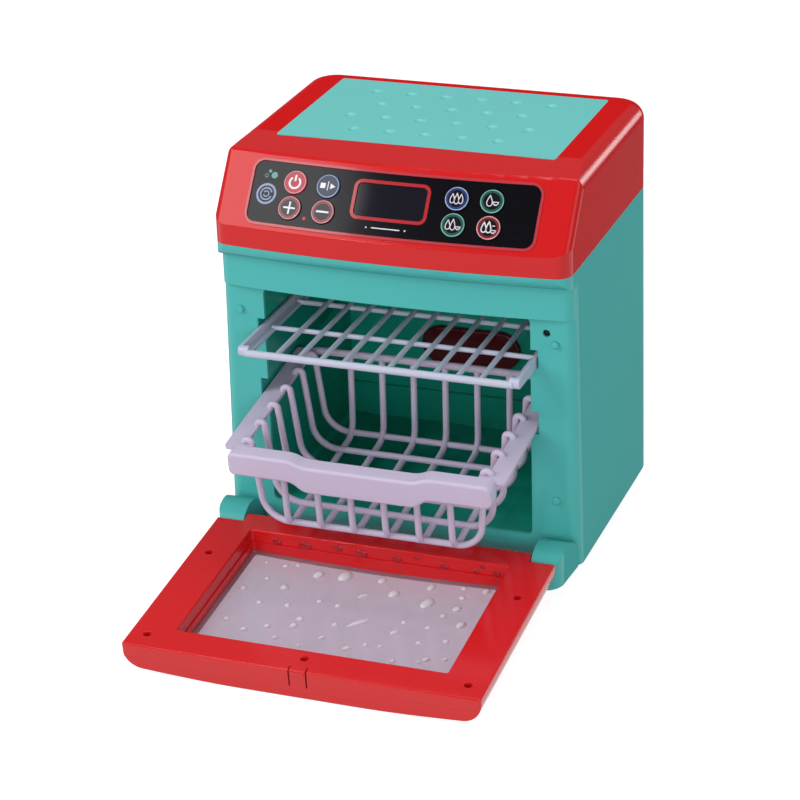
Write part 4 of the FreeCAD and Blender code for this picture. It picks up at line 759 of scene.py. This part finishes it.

# %% [markdown]
# ## Drops on the recess wall
#
# The frame's inner wall beside the hinge carries a row of flat drop shapes. Each is
# a very low dome that stands on the wall, in a darker red than the wall: painted
# shade that stands in for the shade in the moulded drops.

# %% Wall drops
# Darker red than the wall: painted shade for the moulded drops.
wall_drop_painted_shade = plastic("wall_drop_red_painted_shade", srgb(170, 18, 26), roughness=0.12, specular=0.5)
WALL_T = 25.0
WALL_DROPS = ((-71.6, 9.1, 5.0), (-51.5, 8.8, 6.4), (-28.2, 11.0, 5.2), (-12.1, 9.0, 6.4), (12.8, 8.7, 5.2),
              (26.7, 12.2, 3.0), (45.2, 8.8, 4.6), (67.4, 8.4, 3.4), (72.0, 12.6, 3.2), (81.0, 9.2, 4.6))
bm = bmesh.new()
for x, d, size in WALL_DROPS:
    facing_out = on_door(x, WALL_T - 0.05, d) @ Matrix.Rotation(math.radians(90), 4, "X")
    dome(bm, size * 1.0, 1.4, 0.2 * size, facing_out, rings=6)
add_piece("recess_wall_drops", bm, wall_drop_painted_shade, "door")
print(len(WALL_DROPS), "drops on the wall")

# %% [markdown]
# ## Gate mark and screw slots
#
# Where the plastic entered the mould it leaves a small round nub; one shows under
# the panel. The screws at the back have a cross slot, drawn as a dark film on each
# head: painted shade that stands in for the recess of the slot.

# %% Gate mark
bm = bmesh.new()
dome(bm, 1.5, 1.3, 0.35, on_panel(-0.5, 1.2, -0.02), rings=3, steps=16)
add_piece("gate_mark", bm, red, "cabinet")
print("gate mark is on the red top")

# %% Heads of the rear screws
def islands(mesh):
    """Corner points of every separate solid in a mesh, as lists of vectors."""
    bm = bmesh.new()
    bm.from_mesh(mesh)
    bmesh.ops.remove_doubles(bm, verts=bm.verts[:], dist=0.01 * MM)
    left = set(bm.verts)
    found = []
    while left:
        edge_of = [left.pop()]
        island = []
        while edge_of:
            vert = edge_of.pop()
            island.append(vert.co.copy())
            for edge in vert.link_edges:
                other = edge.other_vert(vert)
                if other in left:
                    left.remove(other)
                    edge_of.append(other)
        found.append(island)
    bm.free()
    return sorted(found, key=lambda island: (round(island[0].x, 4), round(island[0].z, 4)))


def rear_head(island):
    back = max(p.y for p in island)
    rim = [p for p in island if p.y > back - 0.3 * MM]
    x = (min(p.x for p in rim) + max(p.x for p in rim)) / 2.0
    z = (min(p.z for p in rim) + max(p.z for p in rim)) / 2.0
    return Vector((x, back, z))


# Dark film on each head: painted shade in place of the recessed cross slot.
slot_painted_shade = plastic("screw_slot_dark", srgb(46, 46, 50), roughness=0.5)
SLOT_ARM = 1.3
SLOT_W = 0.6
bm = bmesh.new()
for node_name in ("rear_cover_screws", "battery_hatch_screw"):
    for island in islands(nodes[node_name].data):
        head = rear_head(island)
        h = SLOT_W / 2.0
        part = bmesh.new()
        fill(part, [(-SLOT_ARM, -h), (-h, -h), (-h, -SLOT_ARM), (h, -SLOT_ARM), (h, -h), (SLOT_ARM, -h),
                    (SLOT_ARM, h), (h, h), (h, SLOT_ARM), (-h, SLOT_ARM), (-h, h), (-SLOT_ARM, h)])
        thicken(part)
        part.transform(Matrix.Translation(head) @ Matrix.Rotation(math.radians(-90), 4, "X"))
        spare = bpy.data.meshes.new("spare")
        part.to_mesh(spare)
        part.free()
        bm.from_mesh(spare)
        bpy.data.meshes.remove(spare)
        print("slot at", [round(v / MM, 1) for v in head])
add_piece("rear_screw_slots", bm, slot_painted_shade, "cabinet", smooth=False)

# %% Finish
print("done")
